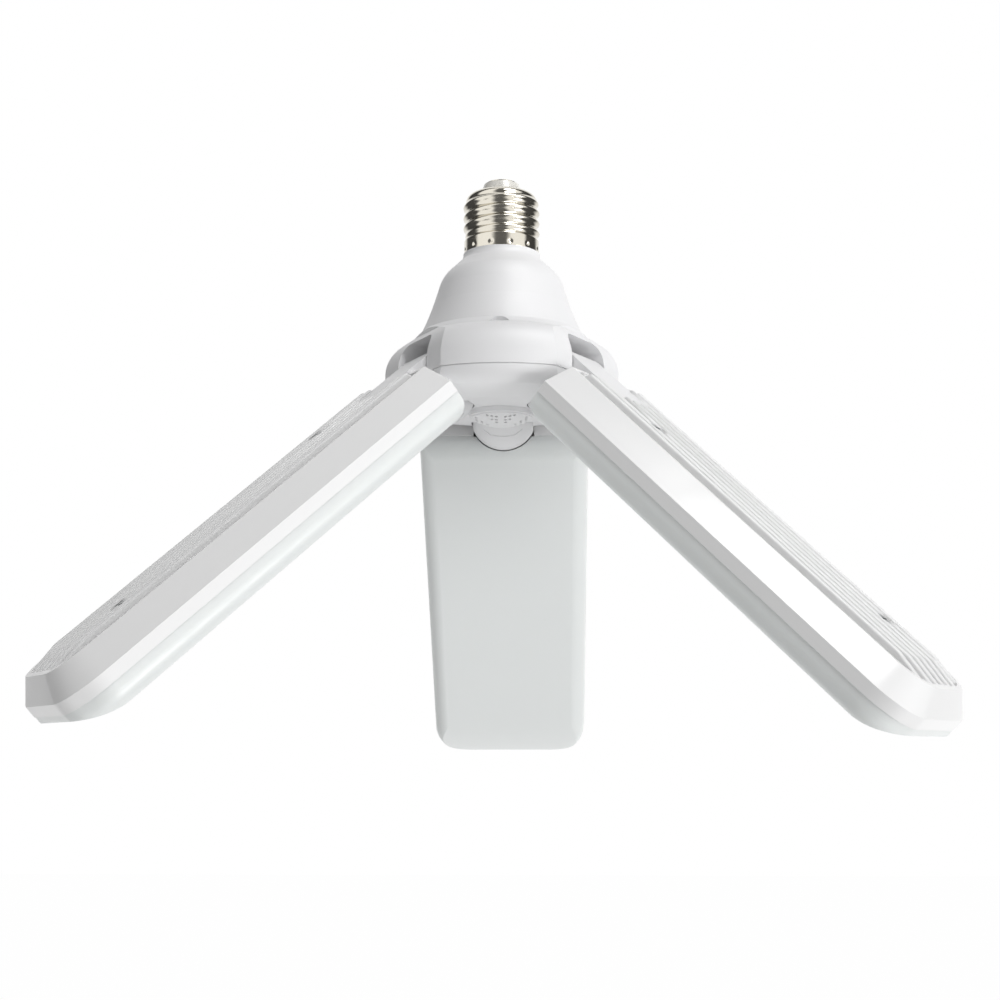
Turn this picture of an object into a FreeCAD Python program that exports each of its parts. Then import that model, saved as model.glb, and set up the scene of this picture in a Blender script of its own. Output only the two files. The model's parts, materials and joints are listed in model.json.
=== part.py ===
import FreeCAD, Part
import math
import os

import Sketcher

# Folding three-panel garage light with an E27 screw cap, in millimetres.
# Frame: +Z up, the origin at the centre of the cap's lower edge, where the cap
# meets the white housing. The hub's own levels are counted from the hinge plane.
# Each panel is drawn flat: X runs out along the panel from its hinge axis, Y is
# the hinge axis and +Z is the finned back, then it is tilted down to its angle.

doc = FreeCAD.newDocument("garage_light")
sheet = doc.addObject("Spreadsheet::Sheet", "Sizes")

SIZES = [
    # screw cap
    ("cap_collar_radius", 12.75), ("cap_collar_height", 5.0), ("cap_root_radius", 12.15),
    ("cap_thread_top", 18.6), ("cap_thread_pitch", 3.63), ("cap_crest_height", 0.88),
    ("cap_crest_width", 2.9), ("cap_wall", 0.7), ("cap_shoulder_height", 21.5),
    ("cap_shoulder_radius", 7.3), ("cap_shoulder_round", 5.6), ("cap_hole_radius", 7.0),
    ("cap_insulator_height", 3.3), ("cap_insulator_radius", 6.0), ("cap_insulator_foot", 2.0),
    ("cap_contact_radius", 5.3), ("cap_contact_height", 1.2), ("cap_stem_radius", 1.4),
    ("cap_stem_length", 4.0), ("crimp_radius", 0.9), ("crimp_depth", 0.35), ("crimp_level", 1.4),
    ("crimp_count", 12),
    # driver housing, levels above the hinge plane
    ("hinge_depth", 46.0), ("housing_wall", 2.2), ("housing_base_radius", 29.5),
    ("housing_base_level", 15.5), ("housing_skirt_radius", 27.3), ("housing_skirt_level", 17.6),
    ("housing_flare_radius", 23.4), ("housing_flare_level", 27.0), ("housing_flare_round", 80.0),
    ("housing_waist_radius", 21.4), ("housing_waist_level", 33.3),
    ("housing_shoulder_radius", 18.3), ("housing_shoulder_level", 39.2),
    ("housing_shoulder_round", 13.7), ("housing_throat_radius", 14.3),
    ("housing_throat_level", 43.0), ("housing_neck_radius", 13.0), ("housing_neck_level", 45.3),
    ("housing_neck_round", 3.4), ("spigot_height", 3.9), ("spigot_wall", 1.8),
    ("scoop_radius", 3.2), ("scoop_offset", 0.4), ("post_radius", 3.0), ("post_height", 9.0),
    ("post_place", 22.5),
    # hub
    ("hub_radius", 39.5), ("hub_face", 33.4), ("hub_face_round", 15.0), ("hub_face_level", 4.0),
    ("hub_wall", 2.0), ("hub_upper_round", 9.9), ("hub_upper_level", 5.0),
    ("hub_lower_round", 6.0), ("hub_lower_level", 1.2), ("hub_dish_radius", 25.0),
    ("hub_floor_drop", 8.5), ("hub_seam_drop", 0.5), ("hub_opening_radius", 21.5),
    ("hub_post_radius", 8.6), ("hub_post_level", 10.0), ("hub_screw_place", 5.2),
    ("hub_screw_radius", 1.25), ("hub_screw_length", 12.0), ("housing_screw_length", 7.0),
    ("screw_head_radius", 2.3), ("screw_head_height", 1.4), ("hinge_radius", 26.2),
    ("slot_side_gap", 0.5), ("slot_wheel_gap", 0.4), ("slot_wall", 1.8), ("slot_ceiling", 8.9),
    ("slot_corner", 4.1), ("slot_back_gap", 0.5), ("seat_gap", 0.02),
    ("seam_groove_height", 0.4), ("seam_groove_depth", 0.5),
    # vent cap under the hub
    ("vent_radius", 10.9), ("vent_skirt", 2.2), ("vent_lip", 0.3), ("vent_dome_radius", 10.4),
    ("vent_dome_depth", 2.8), ("vent_wall", 1.0), ("vent_hole_radius", 0.5),
    ("vent_hole_side", 1.5), ("vent_hole_step", 1.8), ("vent_hole_reach", 8.3),
    ("vent_plug_radius", 8.4), ("vent_plug_height", 1.2), ("vent_plug_fit", 0.1),
    # driver
    ("board_thickness", 1.6), ("driver_board_radius", 24.0), ("post_gap", 0.4),
    ("transformer_length", 17.0), ("transformer_width", 14.0), ("transformer_height", 13.0),
    ("transformer_place", 3.0), ("capacitor_radius", 4.0), ("capacitor_height", 14.0),
    ("capacitor_side", 6.0), ("capacitor_place", 10.0), ("chip_length", 8.0), ("chip_width", 6.0),
    ("chip_height", 3.0), ("chip_side", 3.0), ("chip_place", 7.0), ("lead_radius", 0.65),
    ("lead_bend", 2.0), ("live_place", 5.5), ("neutral_side", 11.5), ("neutral_rise", 14.0),
    ("neutral_neck", 8.6), ("neutral_end", 9.5), ("output_place", 12.0), ("output_side", 16.2),
    # hinge
    ("pin_radius", 2.0), ("pin_bore", 1.0), ("pin_fit", 0.05), ("knuckle_width", 21.0),
    ("knuckle_wheel_radius", 16.5), ("knuckle_rim_drop", 6.8), ("knuckle_barrel", 8.4),
    ("knuckle_arm_length", 24.0), ("knuckle_arm_gap", 0.3), ("knuckle_screw_place", 18.5),
    ("knuckle_screw_side", 6.0), ("knuckle_screw_radius", 1.25), ("knuckle_screw_length", 4.2),
    ("washer_radius", 5.0), ("washer_gap", 0.05), ("knuckle_mark", 0.3),
    ("mark_top_side", 6.6), ("mark_low_side", 4.2), ("mark_top_angle", 85.0),
    ("mark_low_angle", 80.0),
    # panel
    ("angle_left", 41.3), ("angle_right", 43.2), ("angle_rear", 45.15),
    ("panel_start", 10.7), ("panel_end", 164.3), ("panel_width", 60.0),
    ("panel_corner", 14.0), ("panel_band", 4.0), ("panel_taper_height", 7.5),
    ("panel_taper_side", 8.3), ("panel_taper_end", 4.4), ("panel_back_corner", 11.0),
    ("panel_wall", 1.8), ("panel_ledge", 1.0), ("panel_floor", 3.4), ("panel_ledge_width", 7.0),
    ("bay_gap", 0.25), ("trough_level", 5.0), ("trough_lip", 1.0), ("trough_start", 1.6),
    ("trough_tip", 2.0), ("trough_corner", 10.0), ("fin_top", 9.2), ("fin_width", 2.2),
    ("fin_pitch", 5.5), ("fin_count", 7), ("fin_start", 3.4), ("fin_slope", 10.0),
    ("fin_outer_short", 2.0),
    ("screw_near_place", 41.0), ("screw_far_place", 130.0), ("screw_side", 8.25),
    ("screw_boss_radius", 4.2), ("screw_boss_level", 7.4), ("panel_screw_radius", 1.5),
    ("spacer_radius", 3.4), ("led_board_gap", 0.5), ("led_length", 3.5), ("led_width", 2.8),
    ("led_height", 0.7), ("led_pitch", 12.0), ("led_row_place", 15.0), ("led_columns", 11),
    # diffuser
    ("diffuser_depth", 7.7), ("diffuser_round", 5.3), ("diffuser_wall", 1.5),
    ("diffuser_inset", 0.25), ("diffuser_side_wall", 4.2), ("diffuser_lip", 1.2),
    ("diffuser_lip_wall", 1.2), ("diffuser_lip_gap", 0.15), ("diffuser_tip_depth", 2.4),
    ("diffuser_rise_length", 18.0), ("wheel_cut_gap", 0.35),
]


class Dim:
    """A number with its formula, which starts a feature and binds it to the sheet."""

    def __init__(self, value, text):
        self.value = value
        self.text = text

    def join(self, other, sign, value, swapped=False):
        first, last = self.text, dim(other).text
        if swapped:
            first, last = last, first
        return Dim(value, "(" + first + " " + sign + " " + last + ")")

    def __add__(self, other):
        return self.join(other, "+", self.value + dim(other).value)

    __radd__ = __add__

    def __sub__(self, other):
        return self.join(other, "-", self.value - dim(other).value)

    def __rsub__(self, other):
        return self.join(other, "-", dim(other).value - self.value, True)

    def __mul__(self, other):
        return self.join(other, "*", self.value * dim(other).value)

    __rmul__ = __mul__

    def __truediv__(self, other):
        return self.join(other, "/", self.value / dim(other).value)

    def __neg__(self):
        return self * -1.0


def dim(number):
    """Turn a plain number into a Dim, and leave a Dim as it is."""
    if isinstance(number, Dim):
        return number
    return Dim(float(number), "(%.6f)" % number)


S = {}
for row, (alias, number) in enumerate(SIZES, start=1):
    sheet.set("A%d" % row, alias)
    sheet.set("B%d" % row, str(number))
    sheet.setAlias("B%d" % row, alias)
    S[alias] = Dim(float(number), "Sizes." + alias)
doc.recompute()

CLEAR = 200.0  # reach of a cutting tool that passes right through
THIRD = 120.0  # turn from one hinge to the next, in degrees
FIRST_HINGE = 90.0  # direction of the rear hinge
FIRST_POST = 30.0  # direction of the first housing post, midway between two hinges


def bind(thing, **sizes):
    """Set sizes of an object and tie them to the sheet."""
    for name, size in sizes.items():
        setattr(thing, name, dim(size).value)
        thing.setExpression(name, dim(size).text)
    return thing


def place(thing, x=0.0, y=0.0, z=0.0):
    """Put an object at a point that follows the sheet."""
    for axis, size in (("x", x), ("y", y), ("z", z)):
        if isinstance(size, Dim):
            thing.setExpression("Placement.Base." + axis, size.text)
    spot = FreeCAD.Vector(dim(x).value, dim(y).value, dim(z).value)
    thing.Placement = FreeCAD.Placement(spot, thing.Placement.Rotation)
    return thing


def primitive(kind, label, x=0.0, y=0.0, z=0.0, **sizes):
    """Add a box, cylinder, cone, sphere or torus at a point."""
    thing = doc.addObject("Part::" + kind, label)
    bind(thing, **sizes)
    return place(thing, x, y, z)


def box(label, low, high):
    """A box between two corners."""
    size = [dim(high[i]) - low[i] for i in range(3)]
    return primitive("Box", label, low[0], low[1], low[2],
                     Length=size[0], Width=size[1], Height=size[2])


def fuse(label, things):
    union = doc.addObject("Part::MultiFuse", label)
    union.Shapes = things
    return union


def cut(label, base, tools):
    """Take one or several tools out of a base."""
    tool = tools[0] if len(tools) == 1 else fuse(label + "_tools", tools)
    result = doc.addObject("Part::Cut", label)
    result.Base = base
    result.Tool = tool
    return result


def common(label, base, tool):
    result = doc.addObject("Part::Common", label)
    result.Base = base
    result.Tool = tool
    return result


def outline(sketch, points):
    """Draw a closed outline. A point's third entry is the radius of the arc that leaves it,
    positive with the centre on the left of the way round. Every point is tied to the sheet."""
    spots = [(dim(p[0]), dim(p[1])) for p in points]
    ends = []
    for i, point in enumerate(points):
        here = FreeCAD.Vector(spots[i][0].value, spots[i][1].value, 0)
        after = spots[(i + 1) % len(points)]
        there = FreeCAD.Vector(after[0].value, after[1].value, 0)
        if len(point) == 2:
            number = sketch.addGeometry(Part.LineSegment(here, there), False)
            ends.append((number, 1, 2))
            continue
        radius = dim(point[2])
        side = 1.0 if radius.value > 0 else -1.0
        chord = there - here
        left = FreeCAD.Vector(-chord.y, chord.x, 0).normalize()
        reach = math.sqrt(max(radius.value ** 2 - (chord.Length / 2) ** 2, 0.0))
        centre = here + chord * 0.5 + left * reach * side
        first, last = (here, there) if side > 0 else (there, here)
        start = math.atan2(first.y - centre.y, first.x - centre.x)
        stop = math.atan2(last.y - centre.y, last.x - centre.x)
        circle = Part.Circle(centre, FreeCAD.Vector(0, 0, 1), abs(radius.value))
        number = sketch.addGeometry(Part.ArcOfCircle(circle, start, stop), False)
        ends.append((number, 1, 2) if side > 0 else (number, 2, 1))
    for i, end in enumerate(ends):
        after = ends[(i + 1) % len(ends)]
        sketch.addConstraint(Sketcher.Constraint("Coincident", end[0], end[2], after[0], after[1]))
    for i, end in enumerate(ends):
        for kind, axis, size in (("DistanceX", -2, spots[i][0]), ("DistanceY", -1, spots[i][1])):
            if abs(size.value) < 1e-9:
                sketch.addConstraint(Sketcher.Constraint("PointOnObject", end[0], end[1], axis))
                continue
            rule = Sketcher.Constraint(kind, -1, 1, end[0], end[1], size.value)
            number = sketch.addConstraint(rule)
            sketch.setExpression("Constraints[%d]" % number, size.text)
        if len(points[i]) == 3:
            size = dim(points[i][2])
            size = size if size.value > 0 else -size
            rule = Sketcher.Constraint("Radius", end[0], size.value)
            number = sketch.addConstraint(rule)
            sketch.setExpression("Constraints[%d]" % number, size.text)


def circles(sketch, spots, radius):
    """Draw equal circles at points, each tied to the sheet."""
    for x, y in spots:
        centre = FreeCAD.Vector(dim(x).value, dim(y).value, 0)
        circle = Part.Circle(centre, FreeCAD.Vector(0, 0, 1), dim(radius).value)
        number = sketch.addGeometry(circle, False)
        for kind, axis, size in (("DistanceX", -2, dim(x)), ("DistanceY", -1, dim(y))):
            if abs(size.value) < 1e-9:
                sketch.addConstraint(Sketcher.Constraint("PointOnObject", number, 3, axis))
                continue
            rule = sketch.addConstraint(Sketcher.Constraint(kind, -1, 1, number, 3, size.value))
            sketch.setExpression("Constraints[%d]" % rule, size.text)
        rule = sketch.addConstraint(Sketcher.Constraint("Radius", number, dim(radius).value))
        sketch.setExpression("Constraints[%d]" % rule, dim(radius).text)


def new_body(label):
    return doc.addObject("PartDesign::Body", label)


def sketch_on(body, role, label, level=0.0):
    """A sketch on one of the body's own planes, raised to a level along its normal."""
    sketch = body.newObject("Sketcher::SketchObject", label)
    plane = [f for f in body.Origin.OriginFeatures if f.Role == role][0]
    sketch.AttachmentSupport = [(plane, "")]
    sketch.MapMode = "FlatFace"
    sketch.AttachmentOffset = FreeCAD.Placement(
        FreeCAD.Vector(0, 0, dim(level).value), FreeCAD.Rotation())
    if isinstance(level, Dim):
        sketch.setExpression("AttachmentOffset.Base.z", level.text)
    return sketch


def turned(body, label, points):
    """Turn an outline of radius and height round the body's Z axis."""
    profile = sketch_on(body, "XZ_Plane", label + "_profile")
    outline(profile, points)
    feature = body.newObject("PartDesign::Revolution", label)
    feature.Profile = profile
    feature.ReferenceAxis = (profile, ["V_Axis"])
    feature.Angle = 360.0
    return feature


def padded(body, label, points, length, level=0.0, role="XY_Plane", both=False, back=False):
    """Push an outline out of a plane."""
    profile = sketch_on(body, role, label + "_profile", level)
    outline(profile, points)
    feature = body.newObject("PartDesign::Pad", label)
    feature.Profile = profile
    bind(feature, Length=length)
    feature.Midplane = both
    feature.Reversed = back
    return feature


def pocketed(body, label, points, length, level=0.0, role="XY_Plane", both=False, back=False):
    """Cut an outline out of the body, and make sure that it cut something."""
    doc.recompute()
    before = body.Shape.Volume
    profile = sketch_on(body, role, label + "_profile", level)
    outline(profile, points)
    feature = body.newObject("PartDesign::Pocket", label)
    feature.Profile = profile
    bind(feature, Length=length)
    feature.Midplane = both
    feature.Reversed = back
    doc.recompute()
    if body.Shape.Volume > before - 1e-3:
        raise RuntimeError(label + " cuts nothing")
    return feature


def rounded(body, label, radius, chosen):
    """Round the edges of the body that a test picks out."""
    doc.recompute()
    base = body.Tip
    edges = ["Edge%d" % i for i, e in enumerate(base.Shape.Edges, start=1) if chosen(e.BoundBox)]
    soft = body.newObject("PartDesign::Fillet", label)
    soft.Base = (base, edges)
    return bind(soft, Radius=radius)


def thirds(body, step, count=3):
    """Repeat a feature round the body's Z axis."""
    doc.recompute()
    pattern = body.newObject("PartDesign::PolarPattern", step.Label + "_round")
    pattern.Originals = [step]
    axis = [f for f in body.Origin.OriginFeatures if f.Role == "Z_Axis"][0]
    pattern.Axis = (axis, [""])
    pattern.Angle = 360.0
    pattern.Occurrences = count
    body.Tip = pattern
    return pattern


def tongue(x0, x1, half, corner):
    """A rectangle that starts square and ends with two round corners."""
    return [(x0, -half), (x1 - corner, -half, corner), (x1, -half + corner),
            (x1, half - corner, corner), (x1 - corner, half), (x0, half)]


def tube(radius, points, bend):
    """A lead: straight runs joined by arcs of one radius."""
    spots = [FreeCAD.Vector(*point) for point in points]
    edges = []
    start = spots[0]
    for i in range(1, len(spots) - 1):
        into = (spots[i] - spots[i - 1]).normalize()
        away = (spots[i + 1] - spots[i]).normalize()
        turn = into.getAngle(away)
        reach = bend * math.tan(turn / 2)
        first = spots[i] - into * reach
        last = spots[i] + away * reach
        middle = spots[i] + (away - into).normalize() * (bend / math.cos(turn / 2) - bend)
        edges.append(Part.LineSegment(start, first).toShape())
        edges.append(Part.Arc(first, middle, last).toShape())
        start = last
    edges.append(Part.LineSegment(start, spots[-1]).toShape())
    facing = (spots[1] - spots[0]).normalize()
    ring = Part.Wire([Part.Circle(spots[0], facing, radius).toShape()])
    return Part.Wire(edges).makePipeShell([ring], True, False)


def around(angle, radius):
    """A point on a circle round Z, as plain numbers."""
    turn = math.radians(angle)
    return FreeCAD.Vector(dim(radius).value * math.cos(turn), dim(radius).value * math.sin(turn), 0)


def between(step, radius):
    """A point on a circle round Z, midway between two hinges."""
    return around(FIRST_POST + THIRD * step, radius)


def at(thing, spot, level=0.0):
    """Stand an object at a point of the plane, on a level that follows the sheet."""
    thing.Placement = FreeCAD.Placement(FreeCAD.Vector(spot.x, spot.y, dim(level).value),
                                        thing.Placement.Rotation)
    return thing


def across(thing, start):
    """Lay a cylinder along the hinge axis, from a start on its negative side."""
    thing.Placement = FreeCAD.Placement(FreeCAD.Vector(0, -dim(start).value, 0),
                                        FreeCAD.Rotation(FreeCAD.Vector(1, 0, 0), -90))
    return thing


def feature(label, shape):
    """A node whose shape is set outright."""
    thing = doc.addObject("Part::Feature", label)
    thing.Shape = shape
    return thing


NODES = []


def node(thing, label, placement=None):
    """Name a finished piece and put it where it belongs."""
    thing.Label = label
    if placement is not None:
        thing.Placement = placement.multiply(thing.Placement)
    NODES.append(thing)
    return thing


def hub_place():
    """The hub's frame: the hinge plane at Z 0, the rear hinge along +Y."""
    return FreeCAD.Placement(FreeCAD.Vector(0, 0, -S["hinge_depth"].value), FreeCAD.Rotation())


def hinge_place(step):
    """From a panel's own frame to the hub's frame, for the hinge of that step, laid flat."""
    turn = FreeCAD.Rotation(FreeCAD.Vector(0, 0, 1), FIRST_HINGE + THIRD * step)
    spot = turn.multVec(FreeCAD.Vector(S["hinge_radius"].value, 0, 0))
    return FreeCAD.Placement(spot, turn)


def compound(label, shapes):
    """Several separate solids that share one node."""
    return feature(label, Part.Compound(shapes))


def screws(label, spots, length, radius, down=False, where=None, grow=0.0):
    """Equal pan head screws as one node, each with its head's underside at its spot."""
    head_radius = S["screw_head_radius"].value + grow
    height = S["screw_head_height"].value
    head = Part.makeCylinder(head_radius, height)
    head = head.makeFillet(height * 0.4, [e for e in head.Edges
                                          if e.BoundBox.ZMin > height - 1e-6])
    bar = Part.makeBox(head_radius * 1.1, head_radius * 0.28, height)
    bar.translate(FreeCAD.Vector(-head_radius * 0.55, -head_radius * 0.14, height * 0.5))
    cross = bar.copy()
    cross.rotate(FreeCAD.Vector(), FreeCAD.Vector(0, 0, 1), 90)
    shank = Part.makeCylinder(dim(radius).value, dim(length).value,
                              FreeCAD.Vector(0, 0, -dim(length).value))
    whole = head.fuse(shank).cut(bar.fuse(cross))
    if down:
        whole.rotate(FreeCAD.Vector(), FreeCAD.Vector(1, 0, 0), 180)
    shapes = []
    for spot in spots:
        copy = whole.copy()
        copy.translate(FreeCAD.Vector(*[dim(size).value for size in spot]))
        shapes.append(copy)
    node(compound(label + "_all", shapes), label, where)


# ---------------------------------------------------------------- screw cap

def make_cap():
    wall = S["cap_wall"]
    collar = S["cap_collar_radius"]
    root = S["cap_root_radius"]
    top = S["cap_shoulder_height"]
    hole = S["cap_hole_radius"]
    shell = new_body("cap_shell_body")
    turned(shell, "cap_shell_turned", [
        (collar - wall, 0), (collar, 0), (collar, S["cap_collar_height"] - 0.4),
        (root, S["cap_collar_height"] + 0.2),
        (root, S["cap_thread_top"], S["cap_shoulder_round"]), (S["cap_shoulder_radius"], top),
        (hole, top), (hole, top - wall),
        (S["cap_shoulder_radius"], top - wall, wall - S["cap_shoulder_round"]),
        (root - wall, S["cap_thread_top"] - 0.2),
        (root - wall, S["cap_collar_height"]), (collar - wall, S["cap_collar_height"] - 0.8)])
    half = S["cap_crest_width"].value / 2
    runout = 0.3
    low = S["cap_collar_height"].value + half + runout
    high = S["cap_thread_top"].value - half
    sunk = 0.25
    start = root.value - sunk
    helix = Part.makeHelix(S["cap_thread_pitch"].value, high - low, start)
    helix.translate(FreeCAD.Vector(0, 0, low))
    foot = FreeCAD.Vector(start, 0, low - half)
    head = FreeCAD.Vector(start, 0, low + half)
    crest = FreeCAD.Vector(root.value + S["cap_crest_height"].value, 0, low)
    ridge = Part.Wire([Part.Arc(foot, crest, head).toShape(),
                       Part.LineSegment(head, foot).toShape()])
    thread = feature("cap_thread", Part.Wire(helix).makePipeShell([ridge], True, True))
    dents = []
    for number in range(int(S["crimp_count"].value)):
        dent = primitive("Sphere", "cap_crimp_%d" % number, Radius=S["crimp_radius"])
        spot = around(360.0 / S["crimp_count"].value * number,
                      collar + S["crimp_radius"] - S["crimp_depth"])
        dents.append(at(dent, spot, S["crimp_level"]))
    crimped = cut("cap_shell_crimped", shell, dents)
    whole = doc.addObject("Part::Fuse", "cap_shell_joined")
    whole.Base = crimped
    whole.Tool = thread
    whole.Refine = False
    node(whole, "cap_shell")

    insulator = new_body("cap_insulator_body")
    under = top - wall
    face = top + S["cap_insulator_height"]
    turned(insulator, "cap_insulator_turned", [
        (S["cap_stem_radius"], under - S["cap_insulator_foot"]),
        (hole + 1.0, under - S["cap_insulator_foot"]), (hole + 1.0, under - 0.15),
        (hole - 0.05, under - 0.15), (hole - 0.05, top + 0.6),
        (S["cap_insulator_radius"], face), (S["cap_stem_radius"], face)])
    node(insulator, "cap_insulator")

    contact = new_body("cap_contact_body")
    stem = S["cap_stem_radius"] - 0.03
    base = face + S["seat_gap"]
    turned(contact, "cap_contact_turned", [
        (0, face - S["cap_stem_length"]), (stem, face - S["cap_stem_length"]), (stem, base),
        (S["cap_contact_radius"], base),
        (S["cap_contact_radius"], base + S["cap_contact_height"] * 0.4),
        (S["cap_contact_radius"] * 0.6, base + S["cap_contact_height"]),
        (0, base + S["cap_contact_height"])])
    node(contact, "cap_contact")


# ---------------------------------------------------------------- driver housing

def make_housing():
    wall = S["housing_wall"]
    foot = S["housing_base_level"]
    neck = S["hinge_depth"] - S["seat_gap"]
    spigot = S["cap_collar_radius"] - S["cap_wall"] - 0.05
    bore = spigot - S["spigot_wall"]
    flare, flare_z = S["housing_flare_radius"], S["housing_flare_level"]
    waist, waist_z = S["housing_waist_radius"], S["housing_waist_level"]
    shoulder, shoulder_z = S["housing_shoulder_radius"], S["housing_shoulder_level"]
    throat, throat_z = S["housing_throat_radius"], S["housing_throat_level"]
    skirt, skirt_z = S["housing_skirt_radius"], S["housing_skirt_level"]
    body = new_body("driver_housing_body")
    turned(body, "housing_turned", [
        (skirt - wall, foot + S["seat_gap"]),
        (S["housing_base_radius"], foot + S["seat_gap"]),
        (skirt, skirt_z, -S["housing_flare_round"]), (flare, flare_z),
        (waist, waist_z, S["housing_shoulder_round"]), (shoulder, shoulder_z),
        (throat, throat_z, -S["housing_neck_round"]),
        (S["housing_neck_radius"], S["housing_neck_level"]),
        (S["housing_neck_radius"], neck), (spigot, neck), (spigot, neck + S["spigot_height"]),
        (bore, neck + S["spigot_height"]), (bore, throat_z + 0.9),
        (throat - wall * 0.75, throat_z - wall * 0.7),
        (shoulder - wall * 0.75, shoulder_z - wall * 0.7),
        (waist - wall, waist_z - wall * 0.4), (flare - wall, flare_z - wall * 0.4),
        (skirt - wall, skirt_z - wall * 0.4)])
    flats = new_body("housing_flats")
    rise = foot - S["hub_face_level"]
    face = S["hub_face"] - S["hub_face_round"] + S["hub_face_round"] * math.sqrt(
        1.0 - (rise.value / S["hub_face_round"].value) ** 2)
    reach = S["housing_base_radius"]
    thirds(flats, padded(flats, "housing_flat", [
        (face, foot - 1.0), (reach + 1.0, foot - 1.0), (reach + 1.0, waist_z), (face, waist_z)],
        reach * 2.0, role="YZ_Plane", both=True))
    tools = [flats]
    posts = []
    for step in range(3):
        ball = primitive("Sphere", "scoop_%d" % step, Radius=S["scoop_radius"])
        tools.append(at(ball, between(step, S["housing_base_radius"] + S["scoop_offset"]), foot))
        post = primitive("Cylinder", "housing_post_%d" % step, Radius=S["post_radius"],
                         Height=S["post_height"])
        posts.append(at(post, between(step, S["post_place"]), foot + S["seat_gap"]))
        hole = primitive("Cylinder", "housing_hole_%d" % step,
                         Radius=S["hub_screw_radius"] + S["pin_fit"],
                         Height=S["post_height"] - 1.0)
        tools.append(at(hole, between(step, S["post_place"]), foot - 0.5))
    skin = primitive("Cone", "housing_skin", z=foot, Radius1=S["housing_base_radius"] - 1.5,
                     Radius2=S["housing_waist_radius"] - 1.0, Height=waist_z - foot)
    trimmed = common("housing_posts", fuse("housing_posts_all", posts), skin)
    whole = fuse("housing_whole", [body, trimmed])
    node(cut("driver_housing_cut", whole, tools), "driver_housing", hub_place())


# ---------------------------------------------------------------- hub


def hub_round(label, shrink):
    """The hub's turned form, or its hollow when it shrinks by the wall."""
    foot_turn, head_turn = math.radians(-60.0), math.radians(57.0)
    low_x = S["hub_radius"] - S["hub_lower_round"]
    high_x = S["hub_radius"] - S["hub_upper_round"]
    low_round = S["hub_lower_round"] - shrink
    high_round = S["hub_upper_round"] - shrink
    top = S["housing_base_level"] - shrink
    floor = shrink - S["hub_floor_drop"]
    side = S["hub_radius"] - shrink
    body = new_body(label)
    turned(body, label + "_turned", [
        (0, floor), (S["hub_dish_radius"], floor),
        (low_x + low_round * math.cos(foot_turn),
         low_round * math.sin(foot_turn) - S["hub_lower_level"], low_round),
        (side, -S["hub_lower_level"]), (side, S["hub_upper_level"], high_round),
        (high_x + high_round * math.cos(head_turn),
         S["hub_upper_level"] + high_round * math.sin(head_turn)),
        (S["housing_base_radius"] - shrink * 0.3, top), (0, top)])
    return body


def face_cutter(label, shrink):
    """Everything outside the three flat faces and the round above each of them."""
    reach = CLEAR * 0.3
    middle = S["hub_face"] - S["hub_face_round"]
    face = S["hub_face"] - shrink
    level = S["hub_face_level"]
    body = new_body(label)
    pad = padded(body, label + "_pad", [
        (face, -reach), (reach, -reach), (reach, reach), (middle, reach),
        (middle, level + S["hub_face_round"] - shrink, shrink - S["hub_face_round"]),
        (face, level)], CLEAR, role="YZ_Plane", both=True)
    thirds(body, pad)
    return body


def hinge_wheel(label, radius, rim_drop, half):
    """A wheel round the hinge axis with a full round rim."""
    body = new_body(label)
    profile = sketch_on(body, "XY_Plane", label + "_profile")
    round_off = (half * half + rim_drop * rim_drop) / (2 * rim_drop)
    outline(profile, [(0, half), (-(radius - rim_drop), half, round_off),
                      (-(radius - rim_drop), -half), (0, -half)])
    wheel = body.newObject("PartDesign::Revolution", label + "_turned")
    wheel.Profile = profile
    wheel.ReferenceAxis = (profile, ["V_Axis"])
    wheel.Angle = 360.0
    return body


def hinge_slot(label, step, extra):
    """The room for one knuckle in the hub, or the wall round it with extra thickness."""
    half = S["knuckle_width"] / 2 + S["slot_side_gap"] + extra
    wheel = hinge_wheel(label + "_wheel",
                        S["knuckle_wheel_radius"] + S["slot_wheel_gap"] + extra,
                        S["knuckle_rim_drop"], half)
    limit = box(label + "_limit", (-CLEAR / 4, -CLEAR / 4, -CLEAR / 4),
                (CLEAR / 4, CLEAR / 4, S["slot_ceiling"] + extra))
    lower = common(label + "_lower", wheel, limit)
    back = -(S["knuckle_barrel"] + S["slot_back_gap"] + extra)
    round_off = S["slot_corner"] + extra
    bottom = -(S["hub_floor_drop"] + 6.0)
    tunnel = new_body(label + "_tunnel")
    padded(tunnel, label + "_arch", [
        (-half, bottom), (half, bottom), (half, S["slot_ceiling"], round_off),
        (half - round_off, S["slot_ceiling"] + round_off),
        (round_off - half, S["slot_ceiling"] + round_off, round_off),
        (-half, S["slot_ceiling"])],
        S["hub_face"] - S["hinge_radius"] + 6.0 - back, level=back, role="YZ_Plane")
    whole = fuse(label + "_whole", [lower, tunnel])
    whole.Placement = hinge_place(step)
    return whole


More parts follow.
